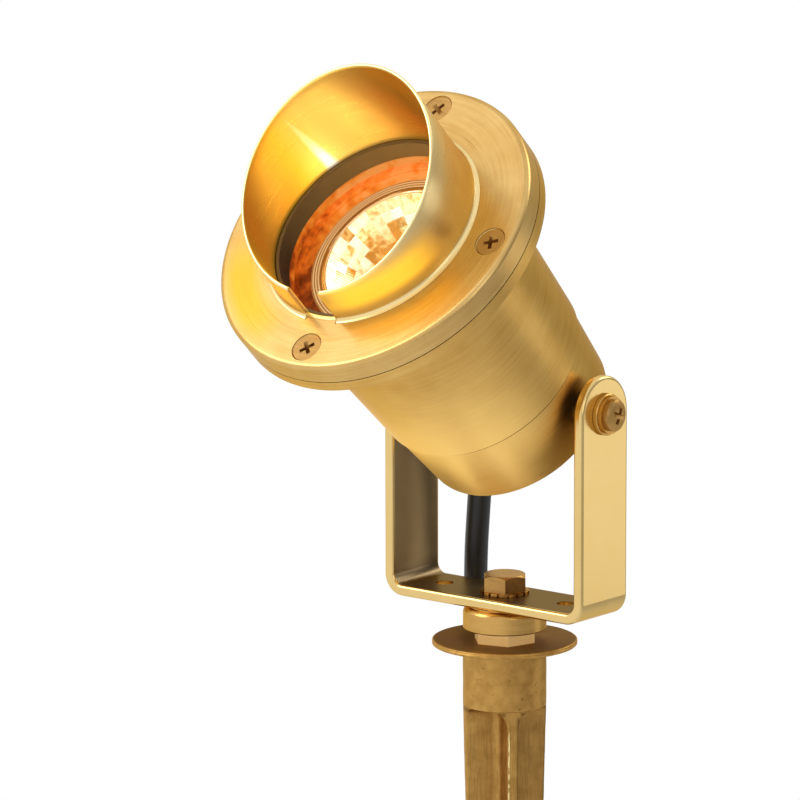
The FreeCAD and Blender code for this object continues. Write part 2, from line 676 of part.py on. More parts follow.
def hank_edges():
    """Limbs drawn in at the waist, joined by tilted half turns, one after the other."""
    edges = []
    half = hank_limb / 2
    draw = hank_fold - hank_waist
    straight = 2 * cord_radius
    reach = half - straight - 3.0
    bend = (reach ** 2 + draw ** 2) / (4 * draw)
    print("hank waist bend radius", round(bend, 1), "fold radius", round(hank_fold, 1))

    def limb(side, deep, sign):
        marks = [(hank_fold, half), (hank_fold, half - straight)]
        x = hank_fold - draw / 2
        z = half - straight - reach / 2
        lean = math.asin(reach / 2 / bend) / 2
        first = (hank_fold - bend * (1 - math.cos(lean)), half - straight - bend * math.sin(lean))
        second = (hank_waist + bend * (1 - math.cos(lean)), half - straight - reach + bend * math.sin(lean))
        marks += [first, (x, z), second, (hank_waist, half - straight - reach)]
        down = marks + [(a, -b) for a, b in reversed(marks)]
        return [V(side * a, deep, sign * b) for a, b in down]

    def limb_edges(p):
        out = [Part.LineSegment(p[0], p[1]), Part.Arc(p[1], p[2], p[3]), Part.Arc(p[3], p[4], p[5]),
               Part.LineSegment(p[5], p[6]), Part.Arc(p[6], p[7], p[8]), Part.Arc(p[8], p[9], p[10]),
               Part.LineSegment(p[10], p[11])]
        return [e.toShape() for e in out]

    for k in range(hank_limbs):
        side = -1 if k % 2 == 0 else 1
        deep = k * hank_pitch / 2
        edges += limb_edges(limb(side, deep, -side))
        if k < hank_limbs - 1:
            first = V(side * hank_fold, deep, side * half)
            second = V(-side * hank_fold, deep + hank_pitch / 2, side * half)
            bulge = V(0, 0, side * (second - first).Length / 2)
            edges.append(Part.Arc(first, (first + second) / 2 + bulge, second).toShape())
    return edges


def place_hank(shape):
    frame = FreeCAD.Matrix(ACROSS.x, DEEP.x, 0, hank_start.x, ACROSS.y, DEEP.y, 0, hank_start.y,
                           0, 0, 1, hank_start.z, 0, 0, 0, 1)
    shift = V(hank_fold, 0, -hank_limb / 2)
    out = shape.copy()
    out.translate(shift)
    out.transformShape(frame)
    return out


edges = hank_edges()
hank = swept(edges, cord_radius, "cord hank", [hank_fold])
points = []
run = 0.0
for edge in edges:
    count = max(2, int(edge.Length / 1.5))
    for p in edge.discretize(count + 1)[:-1]:
        points.append((run, p))
        run += edge.Length / count
least = min((a[1] - b[1]).Length for i, a in enumerate(points) for b in points[i + 1:]
            if b[0] - a[0] > 6 * cord_radius)
print("hank length", round(run, 1), "least gap to itself", round(least - 2 * cord_radius, 2))
save("cord_hank", place_hank(hank))

# tie round the waist of the hank
deep_last = (hank_limbs - 1) * hank_pitch / 2
inside = hank_waist + cord_radius + 0.25


def band(grow, low, high):
    r = inside + grow
    corners = [V(-r, 0, low), V(-r, deep_last, low), V(r, deep_last, low), V(r, 0, low)]
    outline = [Part.LineSegment(corners[0], corners[1]),
               Part.Arc(corners[1], V(0, deep_last + r, low), corners[2]),
               Part.LineSegment(corners[2], corners[3]), Part.Arc(corners[3], V(0, -r, low), corners[0])]
    return Part.Face(Part.Wire([e.toShape() for e in outline])).extrude(V(0, 0, high - low))


tie = band(tie_thick, -tie_wide / 2, tie_wide / 2).cut(band(0, -tie_wide, tie_wide))
lock = Part.makeBox(6.4, 4.6, 6.0, V(-3.2, deep_last + inside + tie_thick / 2, -3.0))
tail = Part.makeBox(14, tie_thick, tie_wide - 0.6, V(3.2, deep_last + inside + 2.6, -tie_wide / 2 + 0.3))
tie = tie.fuse(lock).fuse(tail).removeSplitter()
save("hank_tie", place_hank(tie))

# bared end of the cord: two cores with their copper tips, at the end of the last limb
cores = []
copper = []
for side in (1, -1):
    spot = V(-hank_fold + side * 1.7, deep_last, -hank_limb / 2)
    cores.append(Part.makeCylinder(core_radius, core_length, spot, -ALONG))
    copper.append(Part.makeCylinder(tip_radius, tip_length, spot - V(0, 0, core_length), -ALONG))
save("cord_cores", place_hank(Part.makeCompound(cores)))
save("core_tips", place_hank(Part.makeCompound(copper)))
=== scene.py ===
import json
import math

import bpy
import numpy as np
from mathutils import Matrix, Vector


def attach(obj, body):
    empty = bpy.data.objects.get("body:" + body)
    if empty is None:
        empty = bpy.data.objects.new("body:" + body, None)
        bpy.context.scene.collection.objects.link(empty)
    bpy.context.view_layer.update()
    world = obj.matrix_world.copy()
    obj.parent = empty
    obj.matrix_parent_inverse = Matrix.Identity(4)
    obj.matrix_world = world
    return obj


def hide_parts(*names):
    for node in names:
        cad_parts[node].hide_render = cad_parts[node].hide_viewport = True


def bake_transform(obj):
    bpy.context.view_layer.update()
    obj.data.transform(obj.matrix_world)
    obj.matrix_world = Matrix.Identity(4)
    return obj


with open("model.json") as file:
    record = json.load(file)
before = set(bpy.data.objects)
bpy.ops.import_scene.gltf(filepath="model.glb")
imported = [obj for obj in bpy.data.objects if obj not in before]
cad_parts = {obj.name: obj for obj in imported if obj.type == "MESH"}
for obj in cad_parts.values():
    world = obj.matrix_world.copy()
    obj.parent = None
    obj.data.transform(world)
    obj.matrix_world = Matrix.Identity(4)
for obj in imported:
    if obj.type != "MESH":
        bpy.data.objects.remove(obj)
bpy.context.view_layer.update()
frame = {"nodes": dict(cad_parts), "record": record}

# The garden spotlight is in metres. Z is up, the lamp aims towards -Y, and "s" runs along the head.
aim = math.radians(44.0)
pivotHeight = 0.079
headAxis = Vector((0.0, -math.cos(aim), math.sin(aim)))
headNormal = Vector((0.0, math.sin(aim), math.cos(aim)))
headTurn = np.array([(1.0, 0.0, 0.0), tuple(headNormal), tuple(headAxis)])


def fromHead(x, n, s):
    return Vector((x, 0.0, pivotHeight)) + headNormal * n + headAxis * s


def onHead(points):
    # (x, n, s) of the head's own frame to the world: p = x X + n N + s S + pivot
    return points @ headTurn + np.array([0.0, 0.0, pivotHeight])


# camera
camera = {
    "place": (1.0880, -1.3942, 0.4162),
    "turn": 39.04,          # degrees, from looking along +Y
    "down": 10.8,
    "roll": -0.14,
    "frame": 800,           # pixels, a square picture
    "focal": 5706.97,       # pixels
    "film": 36.0,
}


def makeCamera(c):
    az, el, roll = (math.radians(c[k]) for k in ("turn", "down", "roll"))
    back = Vector((math.sin(az) * math.cos(el), -math.cos(az) * math.cos(el), math.sin(el)))
    right = Vector((math.cos(az), math.sin(az), 0.0))
    up = back.cross(right)
    tiltedRight = right * math.cos(roll) + up * math.sin(roll)
    tiltedUp = up * math.cos(roll) - right * math.sin(roll)
    data = bpy.data.cameras.new("camera")
    data.sensor_width = c["film"]
    data.lens = c["focal"] / c["frame"] * c["film"]
    data.clip_end = 50.0
    eye = bpy.data.objects.new("camera", data)
    bpy.context.collection.objects.link(eye)
    turn = Matrix((tiltedRight, tiltedUp, back)).transposed().to_4x4()
    eye.matrix_world = Matrix.Translation(Vector(c["place"])) @ turn
    bpy.context.scene.camera = eye


makeCamera(camera)
print("camera is set")


# node helpers
def newMaterial(name):
    m = bpy.data.materials.new(name)
    m.use_nodes = True
    m.node_tree.nodes.clear()
    return m, m.node_tree


def feed(node, inputs):
    # each input gets a link, a number or a colour
    for key, value in inputs.items():
        if isinstance(value, bpy.types.NodeSocket):
            node.id_data.links.new(value, node.inputs[key])
        else:
            node.inputs[key].default_value = value


def addNode(tree, kind, inputs=None, **settings):
    # kind is the name without its first part, so "Math" for a ShaderNodeMath
    node = tree.nodes.new("ShaderNode" + kind)
    for key, value in settings.items():
        setattr(node, key, value)
    feed(node, inputs or {})
    return node


def nodeOut(tree, kind, inputs=None, **settings):
    return addNode(tree, kind, inputs, **settings).outputs[0]


def maths(operation, a, b=0.0, clamp=False):
    tree = (a if isinstance(a, bpy.types.NodeSocket) else b).id_data
    return nodeOut(tree, "Math", {0: a, 1: b}, operation=operation, use_clamp=clamp)


def plus(a, b, clamp=False):
    return maths("ADD", a, b, clamp)


def minus(a, b):
    return maths("SUBTRACT", a, b)


def times(*factors):
    total = factors[0]
    for factor in factors[1:]:
        total = maths("MULTIPLY", total, factor)
    return total


def above(value, limit):
    return maths("GREATER_THAN", value, limit)


def below(value, limit):
    return maths("LESS_THAN", value, limit)


def mapped(value, start, end, outStart=0.0, outEnd=1.0, kind="LINEAR"):
    return nodeOut(value.id_data, "MapRange", {"Value": value, "From Min": start, "From Max": end,
                   "To Min": outStart, "To Max": outEnd}, interpolation_type=kind)


def between(value, low, high):
    # 0 below low and 1 above high, smooth, or the other way round when low is the greater
    return mapped(value, low, high, kind="SMOOTHSTEP")


def noise(spot, scale, detail, rough=0.5):
    return nodeOut(spot.id_data, "TexNoise", {"Vector": spot, "Scale": scale, "Detail": detail,
                   "Roughness": rough})


def mixColour(factor, a, b):
    a, b = ((*c, 1.0) if isinstance(c, tuple) else c for c in (a, b))
    return addNode(factor.id_data, "Mix", {0: factor, 6: a, 7: b}, data_type="RGBA").outputs[2]


def ramp(value, stops):
    node = addNode(value.id_data, "ValToRGB", {0: value})
    band = node.color_ramp
    while len(band.elements) < len(stops):
        band.elements.new(1.0)
    for spot, (where, colour) in zip(band.elements, stops):
        spot.position = where
        spot.color = (*colour, 1.0)
    return node.outputs[0]


def finishMaterial(tree, shader):
    addNode(tree, "OutputMaterial", {"Surface": shader.outputs[0]})


# mesh helpers: arrays of points and of corner numbers become one closed piece
def gridFaces(rows, columns):
    start = np.arange(rows - 1)[:, None] * columns
    here = np.arange(columns)[None, :]
    after = (here + 1) % columns
    return np.stack([start + here, start + after, start + columns + after, start + columns + here],
                    axis=-1).reshape(-1, 4)


def fanFaces(ring, pole):
    return np.stack([ring, np.roll(ring, -1), np.full(len(ring), pole)], axis=-1)


def closedRings(rings, first, last):
    # rings of points with a pole at each end: all points, then the faces of the wall and of both ends
    count, columns = rings.shape[:2]
    size = count * columns
    ring = np.arange(columns)
    points = np.concatenate([rings.reshape(-1, 3), [first], [last]])
    return points, [gridFaces(count, columns), fanFaces(ring[::-1], size),
                    fanFaces(ring + size - columns, size + 1)]


def carriedRound(r, s, angle):
    # a line (r, s) at every angle a: (r cos a, r sin a, s)
    return np.stack([r * np.cos(angle), r * np.sin(angle), s + 0 * angle], axis=-1)


def volumeOf(points, faces):
    total = 0.0
    for group in faces:
        for k in range(1, group.shape[1] - 1):
            p, q, r = (points[group[:, i]] for i in (0, k, k + 1))
            total += np.einsum("ij,ij->", p, np.cross(q, r)) / 6.0
    return total


def meshPiece(name, points, faces, body, nodes, flat=()):
    points = np.asarray(points, dtype=float).reshape(-1, 3)
    if volumeOf(points - points.mean(axis=0), faces) < 0:
        faces = [group[:, ::-1] for group in faces]
    corners = np.concatenate([group.ravel() for group in faces]).astype(np.int32)
    sizes = np.concatenate([np.full(len(group), group.shape[1]) for group in faces])
    starts = np.concatenate([[0], np.cumsum(sizes)[:-1]]).astype(np.int32)
    smooth = np.concatenate([np.full(len(group), k not in flat) for k, group in enumerate(faces)])
    mesh = bpy.data.meshes.new(name)
    mesh.vertices.add(len(points))
    mesh.vertices.foreach_set("co", points.astype(np.float32).ravel())
    mesh.loops.add(len(corners))
    mesh.loops.foreach_set("vertex_index", corners)
    mesh.polygons.add(len(sizes))
    mesh.polygons.foreach_set("loop_start", starts)
    mesh.polygons.foreach_set("use_smooth", smooth)
    mesh.update(calc_edges=True)
    mesh.validate()
    piece = bpy.data.objects.new(name, mesh)
    bpy.context.collection.objects.link(piece)
    if body:
        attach(piece, body)
    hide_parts(*nodes)
    print(name, len(points), "points", len(sizes), "faces")
    return piece


def softLine(corners, steps=5, support=0.0004):
    # a line through corners (a, b, radius): a corner p is rounded as (1-t)^2 q + 2t(1-t) p + t^2 r,
    # where q and r lie one radius before and after it, and flat runs get a point close to each round
    out = []
    last = len(corners) - 1
    for k, (a, b, radius) in enumerate(corners):
        p = np.array((a, b))
        if radius == 0 or k in (0, last):
            out.append(p)
            continue
        before = np.array(corners[k - 1][:2]) - p
        after = np.array(corners[k + 1][:2]) - p
        back, ahead = np.linalg.norm(before), np.linalg.norm(after)
        q, r = p + before / back * radius, p + after / ahead * radius
        if back - radius > 2 * support:
            out.append(q + before / back * support)
        t = np.linspace(0, 1, steps)[:, None]
        out.extend((1 - t) ** 2 * q + 2 * t * (1 - t) * p + t ** 2 * r)
        if ahead - radius > 2 * support:
            out.append(r + after / ahead * support)
    return np.array(out)


# cord: the route's points are those of the solid, in millimetres
cordLook = {
    "radius": 3.8,
    "gland": (-24.0, -2.0),      # x and n of the gland on the head
    "capInside": -3.8,
    "exit": -15.0,
    "straight": -28.4,
    "legs": ((-25.6, 19.6, 42.5), (-27.2, 19.4, 20.0)),
    "turn": 39.0,                # the hank faces the camera
    # across, deep and up, from the hank's own directions: on the way down, and where the first limb starts
    "lead": ((-8.6, 34.0, -6.0), (-6.4, 36.6, -36.0), (-6.0, 36.0, -66.0)),
    "start": (-6.0, 36.0, -96.0),
    "fold": 22.8,
    "waist": 4.3,
    "pitch": 8.4,
    "limb": 98.0,
    "limbs": 5,
    "drops": (-0.98, -0.86, -0.62, -0.36, -0.14, 0.14, 0.36, 0.62, 0.86, 0.98),
    "limbFlat": 7.6,
    "foldAngles": (15.0, 165.0),
    "foldPoints": 6,
    "foldStretch": 1.04,
    "order": 3,
    "resolution": 8,
    "sides": 16,
    "bendStart": -16.0,          # s on the head, where the flex begins to turn away from it
    "bendEnd": 14.0,             # height, level with the plate
    "bendBack": 4.0,
    "length": 1.010,             # metres
}


def makeCord(c):
    turn = math.radians(c["turn"])
    across = Vector((math.cos(turn), math.sin(turn), 0.0))
    deep = Vector((-math.sin(turn), math.cos(turn), 0.0))
    x, n = c["gland"]

    def atGland(s):
        return fromHead(x / 1000, n / 1000, s / 1000)

    def onHank(a, d, z):
        return across * a + deep * d + Vector((0, 0, z))

    start = onHank(*c["start"])
    route = [atGland(s) * 1000 for s in (c["capInside"], c["straight"])]
    route += [Vector(p) for p in c["legs"]] + [onHank(*p) for p in c["lead"]] + [start]
    # each limb sways in to the waist along a cosine, and a half circle of six points joins two limbs
    half = c["limb"] / 2
    drop = np.array(c["drops"]) * -half
    share = np.clip(np.abs(drop) / (half - c["limbFlat"]), 0.0, 1.0)
    out = c["waist"] + (c["fold"] - c["waist"]) * (0.5 - 0.5 * np.cos(np.pi * share))
    bend = np.radians(np.linspace(*c["foldAngles"], c["foldPoints"]))
    middle = start + onHank(c["fold"], 0, -half)
    for k in range(c["limbs"]):
        side = -1 if k % 2 == 0 else 1
        level = k * c["pitch"] / 2
        for z, w in zip(drop * -side, out):
            route.append(middle + onHank(side * float(w), level, float(z)))
        if k < c["limbs"] - 1:
            for i, b in enumerate(bend):
                lift = c["pitch"] / 2 * (i + 0.5) / len(bend)
                rise = half + c["foldStretch"] * c["fold"] * math.sin(b)
                route.append(middle + onHank(side * c["fold"] * math.cos(b), level + lift, side * rise))
    data = bpy.data.curves.new("cordRoute", "CURVE")
    data.dimensions = "3D"
    spline = data.splines.new("NURBS")
    spline.points.add(len(route) - 1)
    places = np.array([(*(p / 1000), 1.0) for p in route], dtype=np.float32)
    spline.points.foreach_set("co", places.ravel())
    spline.order_u = c["order"]
    spline.use_endpoint_u = True
    spline.resolution_u = c["resolution"]
    guide = bpy.data.objects.new("cordRoute", data)
    bpy.context.collection.objects.link(guide)
    bpy.context.view_layer.update()
    read = bpy.data.meshes.new_from_object(guide)
    line = np.zeros(len(read.vertices) * 3, dtype=np.float32)
    read.vertices.foreach_get("co", line)
    line = line.astype(float).reshape(-1, 3)
    bpy.data.objects.remove(guide)
    bpy.data.curves.remove(data)
    bpy.data.meshes.remove(read)
    # tube: p = line + radius (cos b u + sin b v), with u and v square to the line and u square to the
    # hank's depth, and a pole at each end
    along = np.gradient(line, axis=0)
    along /= np.linalg.norm(along, axis=1)[:, None]
    u = np.cross(along, np.array(deep))
    u /= np.linalg.norm(u, axis=1)[:, None]
    v = np.cross(along, u)
    b = np.linspace(0, 2 * math.pi, c["sides"], endpoint=False)[None, :, None]
    rings = line[:, None] + c["radius"] / 1000 * (np.cos(b) * u[:, None] + np.sin(b) * v[:, None])
    points, faces = closedRings(rings, line[0], line[-1])
    flex = meshPiece("cordFlex", points, faces, None, ["cord_lead", "cord_hank"],
                     flat=(1, 2))
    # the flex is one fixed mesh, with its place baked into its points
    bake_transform(flex)
    return flex


cordFlex = makeCord(cordLook)
print("cord is laid")

# glare shroud: thin tube with a slanting soft rim, a foot on the bezel and an open notch below
shroudLook = {
    "outer": 0.0351,
    "inner": 0.0339,
    "low": 0.0875,           # let into the bezel
    "face": 0.0913,
    "footLip": 0.00015,
    "footRound": 0.0015,
    "middle": 0.1158,        # height of the rim on the axis
    "slant": 11.3 / 34.4,
    "rimRound": 0.00055,
    "rimSteps": 7,
    "footSteps": 8,
    "notchHalf": 0.0058,
    "stations": 300,
    "notchStations": 8,
    "levels": 14,
}


def makeShroud(c):
    # A closed outline (r, share of the height), carried round the axis from one notch wall to the other:
    # angle(r, t) = -90 + a(r) + t (360 - 2 a(r)) with a = asin(notchHalf / r), so the walls are flat.
    # The rim's level is middle + slant n, with n = r sin(angle). Below the face the ring runs on
    # under the notch.
    lift = np.linspace(0, 1, c["levels"])
    edge = c["rimRound"]
    bend = np.radians(np.linspace(0, 90, c["rimSteps"]))
    middle = (c["inner"] + c["outer"]) / 2
    foot = c["outer"] + c["footRound"]
    rounds = np.radians(np.linspace(180, 270, c["footSteps"]))
    base = c["footLip"] + c["footRound"]

    def run(r, low, share, drop):
        # outline points: radius, level above the face when low, share of the rim's level, drop
        return np.stack(np.broadcast_arrays(r, low, share, drop), axis=1)

    inner = run(c["inner"], 0, lift, -edge * lift)
    overIn = run(c["inner"] + edge * (1 - np.cos(bend)), 0, 1, -edge * (1 - np.sin(bend)))[1:]
    overOut = run(c["outer"] - edge * (1 - np.sin(bend)), 0, 1, -edge * (1 - np.cos(bend)))[:-1]
    outer = run(c["outer"], base * (1 - lift), lift, -edge * lift)[::-1]
    fillet = run(foot + c["footRound"] * np.cos(rounds), base + c["footRound"] * np.sin(rounds), 0, 0)[1:]
    ends = np.array([(foot, 0, 0, 0), (c["outer"], 0, 0, 0)])
    upper = np.concatenate([inner, overIn, [(middle, 0, 1, 0)], overOut, outer, fillet, ends])
    sunk = c["low"] - c["face"]
    lower = np.array([(c["outer"], sunk, 0, 0), (c["inner"], sunk, 0, 0)])
    outline = np.concatenate([upper, lower])
    count, top = len(outline), len(upper)
    r, low, share, drop = outline.T
    a = np.arcsin(c["notchHalf"] / r)
    t = np.linspace(0, 1, c["stations"])[:, None]
    angle = -np.pi / 2 + a + t * (2 * np.pi - 2 * a)
    rim = c["middle"] + c["slant"] * r * np.sin(angle)
    s = c["face"] + low + share * (rim - c["face"]) + drop
    main = carriedRound(r, s, angle)
    # under the notch: inner top, outer top, outer low, inner low
    pick = np.array([0, top - 1, top, top + 1])
    u = np.linspace(0, 1, c["notchStations"] + 2)[1:-1, None]
    angle = -np.pi / 2 - a[pick] + u * 2 * a[pick]
    under = carriedRound(r[pick], c["face"] + low[pick], angle)
    points = onHead(np.concatenate([main.reshape(-1, 3), under.reshape(-1, 3)]))
    last = (c["stations"] - 1) * count
    walls = gridFaces(c["stations"], count)
    ribs = np.concatenate([[last + pick], c["stations"] * count + np.arange(len(u) * 4).reshape(-1, 4),
                           [pick]])
    here, after = ribs[:-1], ribs[1:]
    bridge = np.concatenate([np.stack([here[:, k], here[:, (k + 1) % 4], after[:, (k + 1) % 4],
                                       after[:, k]], axis=-1) for k in range(4)])
    caps = np.stack([np.arange(top)[::-1], last + np.arange(top)])
    return meshPiece("shroudTube", points, [walls, bridge, caps], "head",
                     ["glare_shroud"], flat=(1, 2))


shroudTube = makeShroud(shroudLook)

# lamp mirror: a bowl of flat facets in a round rim with fine rings
mirrorLook = {
    "facets": 40,
    "rows": 10,
    "rowPower": 1.5,         # rows are closer together deep in the bowl
    "columnsPerFacet": 4,
    "front": 0.0765,
    "depth": 0.0205,
    "neckHole": 0.0062,
    "neck": 0.0096,
    "neckLength": 0.002,
    "neckStep": 0.0002,
    "land": 0.0232,
    "wall": 0.0018,
    "backShares": (0.12, 0.2, 0.3, 0.4, 0.5, 0.6, 0.7, 0.8),
    # rim from the back to the bowl, with two fine grooves: radius, and s from the front
    "rim": ((0.0249, -0.0016), (0.0250, -0.0014), (0.0250, -0.0002), (0.0248, 0.0),
            (0.02475, 0.0), (0.0246, -0.00012), (0.02435, -0.00012), (0.0242, 0.0), (0.0240, 0.0),
            (0.02385, -0.00018), (0.0236, -0.00018), (0.02345, 0.0)),
}


def makeMirror(c):
    # bowl radius at a part p of the depth: sqrt(hole^2 + p (land^2 - hole^2)), pressed flat between
    # facet corners: r cos(half) / cos(angle from the facet's middle)
    def bowlRadius(p):
        return np.sqrt(c["neckHole"] ** 2 + p * (c["land"] ** 2 - c["neckHole"] ** 2))

    columns = c["facets"] * c["columnsPerFacet"]
    angle = np.arange(columns) * 2 * np.pi / columns
    half = np.pi / c["facets"]
    press = math.cos(half) / np.cos(angle % (2 * half) - half)
    p = (np.arange(c["rows"] + 1) / c["rows"]) ** c["rowPower"]
    low = c["front"] - c["depth"]
    foot = low - c["neckLength"]
    rows = [(r * press, low + c["depth"] * q) for r, q in zip(bowlRadius(p), p)][::-1]
    back = [(c["neckHole"], foot), (c["neck"], foot), (c["neck"], low + c["neckStep"])]
    back += [(bowlRadius(q) + c["wall"], low + c["depth"] * q) for q in c["backShares"]]
    back += [(r, c["front"] + drop) for r, drop in c["rim"]]
    rows += [(r + 0 * angle, s) for r, s in back]
    points = np.array([carriedRound(r, s, angle) for r, s in rows])
    faces = gridFaces(len(rows), columns)
    bowlFaces = faces[:c["rows"] * columns]
    first = np.arange(columns)
    last = first + (len(rows) - 1) * columns
    joint = np.stack([last, np.roll(last, -1), np.roll(first, -1), first], axis=-1)
    return meshPiece("lampMirror", onHead(points), [bowlFaces, faces[c["rows"] * columns:], joint],
                     "head", ["lamp_reflector"], flat=(0, 2))


lampMirror = makeMirror(mirrorLook)

# lens: a flat disc with eased edges, turned from its outline (r, s)
lensLook = {"radius": 0.0355, "low": 0.078, "high": 0.0805, "ease": 0.0003, "middle": 0.0001,
            "columns": 256}


def makeLens(c):
    line = softLine([(c["middle"], c["low"], 0), (c["radius"], c["low"], c["ease"]),
                     (c["radius"], c["high"], c["ease"]), (c["middle"], c["high"], 0)])
    angle = np.arange(c["columns"]) * 2 * np.pi / c["columns"]
    points, faces = closedRings(carriedRound(line[:, :1], line[:, 1:], angle), (0, 0, c["low"]),
                                (0, 0, c["high"]))
    return meshPiece("lensDisc", onHead(points), faces, "head", ["lens_glass"])


lensDisc = makeLens(lensLook)
print("lamp, lens and shroud are made")

# ground spike: flange, socket and four ribs, one outline carried down Z
spikeLook = {
    "ribTurn": 50.0,
    # corners (r, z, rounding) of the bore and the flange, then the socket
    "flange": [(0.0002, -0.0125, 0), (0.004, -0.0125, 0.0002), (0.004, 0.0012, 0.0002),
               (0.0106, 0.0012, 0.0006), (0.0226, 0.0019, 0.0003), (0.0231, 0.0016, 0.0002),
               (0.0231, 0.0003, 0.0003), (0.0226, 0.0, 0.0003)],
    "socket": 0.0133,
    "socketRounds": (0.0005, 0.00035),
    "socketLow": -0.0195,
    "socketFoot": 0.0118,
    "cell": 0.0006,          # greatest step along the flange and the socket
    "flare": 0.0042,
    "flareLong": 0.0058,
    "shoulder": -0.190,
    "tip": -0.232,
    # at the socket, below the flare, at the shoulder and at the tip
    "reach": (0.01325, 0.01318, 0.0089, 0.0015),
    "half": (0.0017, 0.0017, 0.001445, 0.0006),
    "hollow": (0.0022, 0.0028, 0.0019, 0.00035),
    "ribRows": 150,
    "tipRows": 24,
    "seed": 7,
    "grain": 0.00006,        # casting unevenness
    "sines": 14,
    "sineRates": (90, 900),
    "pits": 26,
    "pitAngles": (-2.6, 0.8),
    "pitLevels": (-0.018, -0.002),
    "pitSizes": (0.0002, 0.0005),
    "pitDepths": (0.00008, 0.00022),
    "flash": 0.00022,        # height of the parting line along two ribs
    "flashAt": -0.00125,
    "flashWidth": 0.00028,
    "flashTop": -0.021,
    "flashWaves": (2600, 700),
    "flashFade": 0.05,
    # the faces under the nut and round the bolt stay true: radius and level
    "nutSeat": (0.0115, -0.0002),
    "boltBore": (0.0045, -0.013),
}


def makeSpike(c):
    # One rib's outline, in its own x along the rib and y across it: the tip is an arc of radius reach,
    # the flanks are y = +-half, and a quarter circle of radius hollow joins it to the next rib.
    tipCount, flankCount, hollowCount = 25, 12, 15

    def outline(reach, half, hollow):
        tipEnd = math.asin(half / reach)
        bend = np.linspace(-tipEnd, tipEnd, tipCount)
        inner = half + hollow
        run = np.linspace(reach * math.cos(tipEnd), inner, flankCount + 1)[1:]
        curl = np.radians(np.linspace(-90, -180, hollowCount + 1))[1:-1]
        x = np.concatenate([reach * np.cos(bend), run, inner + hollow * np.cos(curl), half + 0 * run[:-1]])
        y = np.concatenate([reach * np.sin(bend), half + 0 * run, inner + hollow * np.sin(curl),
                            run[:-1][::-1]])
        xs, ys = [], []
        for k in range(4):
            turn = math.radians(c["ribTurn"] + 90 * k)
            xs.append(x * math.cos(turn) - y * math.sin(turn))
            ys.append(x * math.sin(turn) + y * math.cos(turn))
        return np.concatenate(xs), np.concatenate(ys)

    # levels of the ribs, as in the solid: the flare runs out along a circle, the rest is straight
    part = np.concatenate([np.linspace(0, 0.3, 7), np.linspace(0.3, 1, 8)[1:]])
    down = np.linspace(0, 1, c["ribRows"])[1:]
    point = np.linspace(0, 1, c["tipRows"])[1:]

    def straight(top, neck, shoulder, tip):
        return np.concatenate([top + (neck - top) * part, neck + (shoulder - neck) * down,
                               shoulder + (tip - shoulder) * point])

    z = straight(c["socketLow"], c["socketLow"] - c["flareLong"], c["shoulder"], c["tip"])
    half = straight(*c["half"])
    half[:len(part)] += c["flare"] * (1 - np.sqrt(1 - (1 - part) ** 2))
    rows = []
    for level, *shape in zip(z, straight(*c["reach"]), half, straight(*c["hollow"])):
        x, y = outline(*shape)
        rows.append(np.stack([x, y, level + 0 * x], axis=-1))
    # flange and socket: a soft profile (r, z), turned with the columns of the first rib outline
    topRound, lowRound = c["socketRounds"]
    profile = softLine(c["flange"] + [(c["socket"], 0.0, topRound), (c["socket"], c["socketLow"], lowRound),
                                      (c["socketFoot"], c["socketLow"], 0)], steps=4)
    spread = []
    for a, b in zip(profile[:-1], profile[1:]):
        parts = max(1, int(np.linalg.norm(b - a) / c["cell"]))
        spread.extend(a + (b - a) * k / parts for k in range(parts))
    spread = np.array(spread)
    angle = np.arctan2(rows[0][:, 1], rows[0][:, 0])
    points = np.concatenate([carriedRound(spread[:, :1], spread[:, 1:], angle), np.array(rows)])
    # casting unevenness moves points outwards: grain * (sum of slow sines) and a few small pits
    z = points[..., 2]
    where = np.arctan2(points[..., 1], points[..., 0])
    away = np.hypot(points[..., 0], points[..., 1])
    rng = np.random.default_rng(c["seed"])
    push = np.zeros(away.shape)
    for k in range(c["sines"]):
        turns, rate, phase = rng.integers(1, 7), rng.uniform(*c["sineRates"]), rng.uniform(0, 6.28)
        push += np.sin(turns * where + rate * z + phase) / c["sines"]
    push *= c["grain"] * 2
    for k in range(c["pits"]):
        pitAngle, pitLevel = rng.uniform(*c["pitAngles"]), rng.uniform(*c["pitLevels"])
        size, deep = rng.uniform(*c["pitSizes"]), rng.uniform(*c["pitDepths"])
        gap = np.hypot((where - pitAngle) * c["socket"], z - pitLevel)
        push -= deep * np.exp(-(gap / size) ** 2)
    # parting line: a low wavy ridge near one edge of two opposite ribs, below the socket
    fast, slow = c["flashWaves"]
    wave = 0.55 + 0.45 * np.sin(z * fast + 2.0 * np.sin(z * slow))
    for rib in (270, 90):
        a = math.radians(c["ribTurn"] + rib)
        across = -points[..., 0] * math.sin(a) + points[..., 1] * math.cos(a) - c["flashAt"]
        along = points[..., 0] * math.cos(a) + points[..., 1] * math.sin(a)
        ridge = np.exp(-(across / c["flashWidth"]) ** 2) * (along > 0.6 * away) * (z < c["flashTop"])
        push += c["flash"] * ridge * wave * np.clip((z - c["tip"]) / c["flashFade"], 0, 1)
    seatRadius, seatLevel = c["nutSeat"]
    boreRadius, boreLevel = c["boltBore"]
    rough = ((z < seatLevel) | (away > seatRadius)) & ~((away < boreRadius) & (z > boreLevel))
    push = np.where(rough, push, 0.0) * np.clip(away / 0.008, 0, 1)
    points[..., 0] += push * np.cos(where)
    points[..., 1] += push * np.sin(where)
    flat, faces = closedRings(points, (0, 0, profile[0][1]), (0, 0, c["tip"]))
    return meshPiece("spikeCasting", flat, faces, "spike", ["ground_spike"])


spikeCasting = makeSpike(spikeLook)
print("spike is cast")

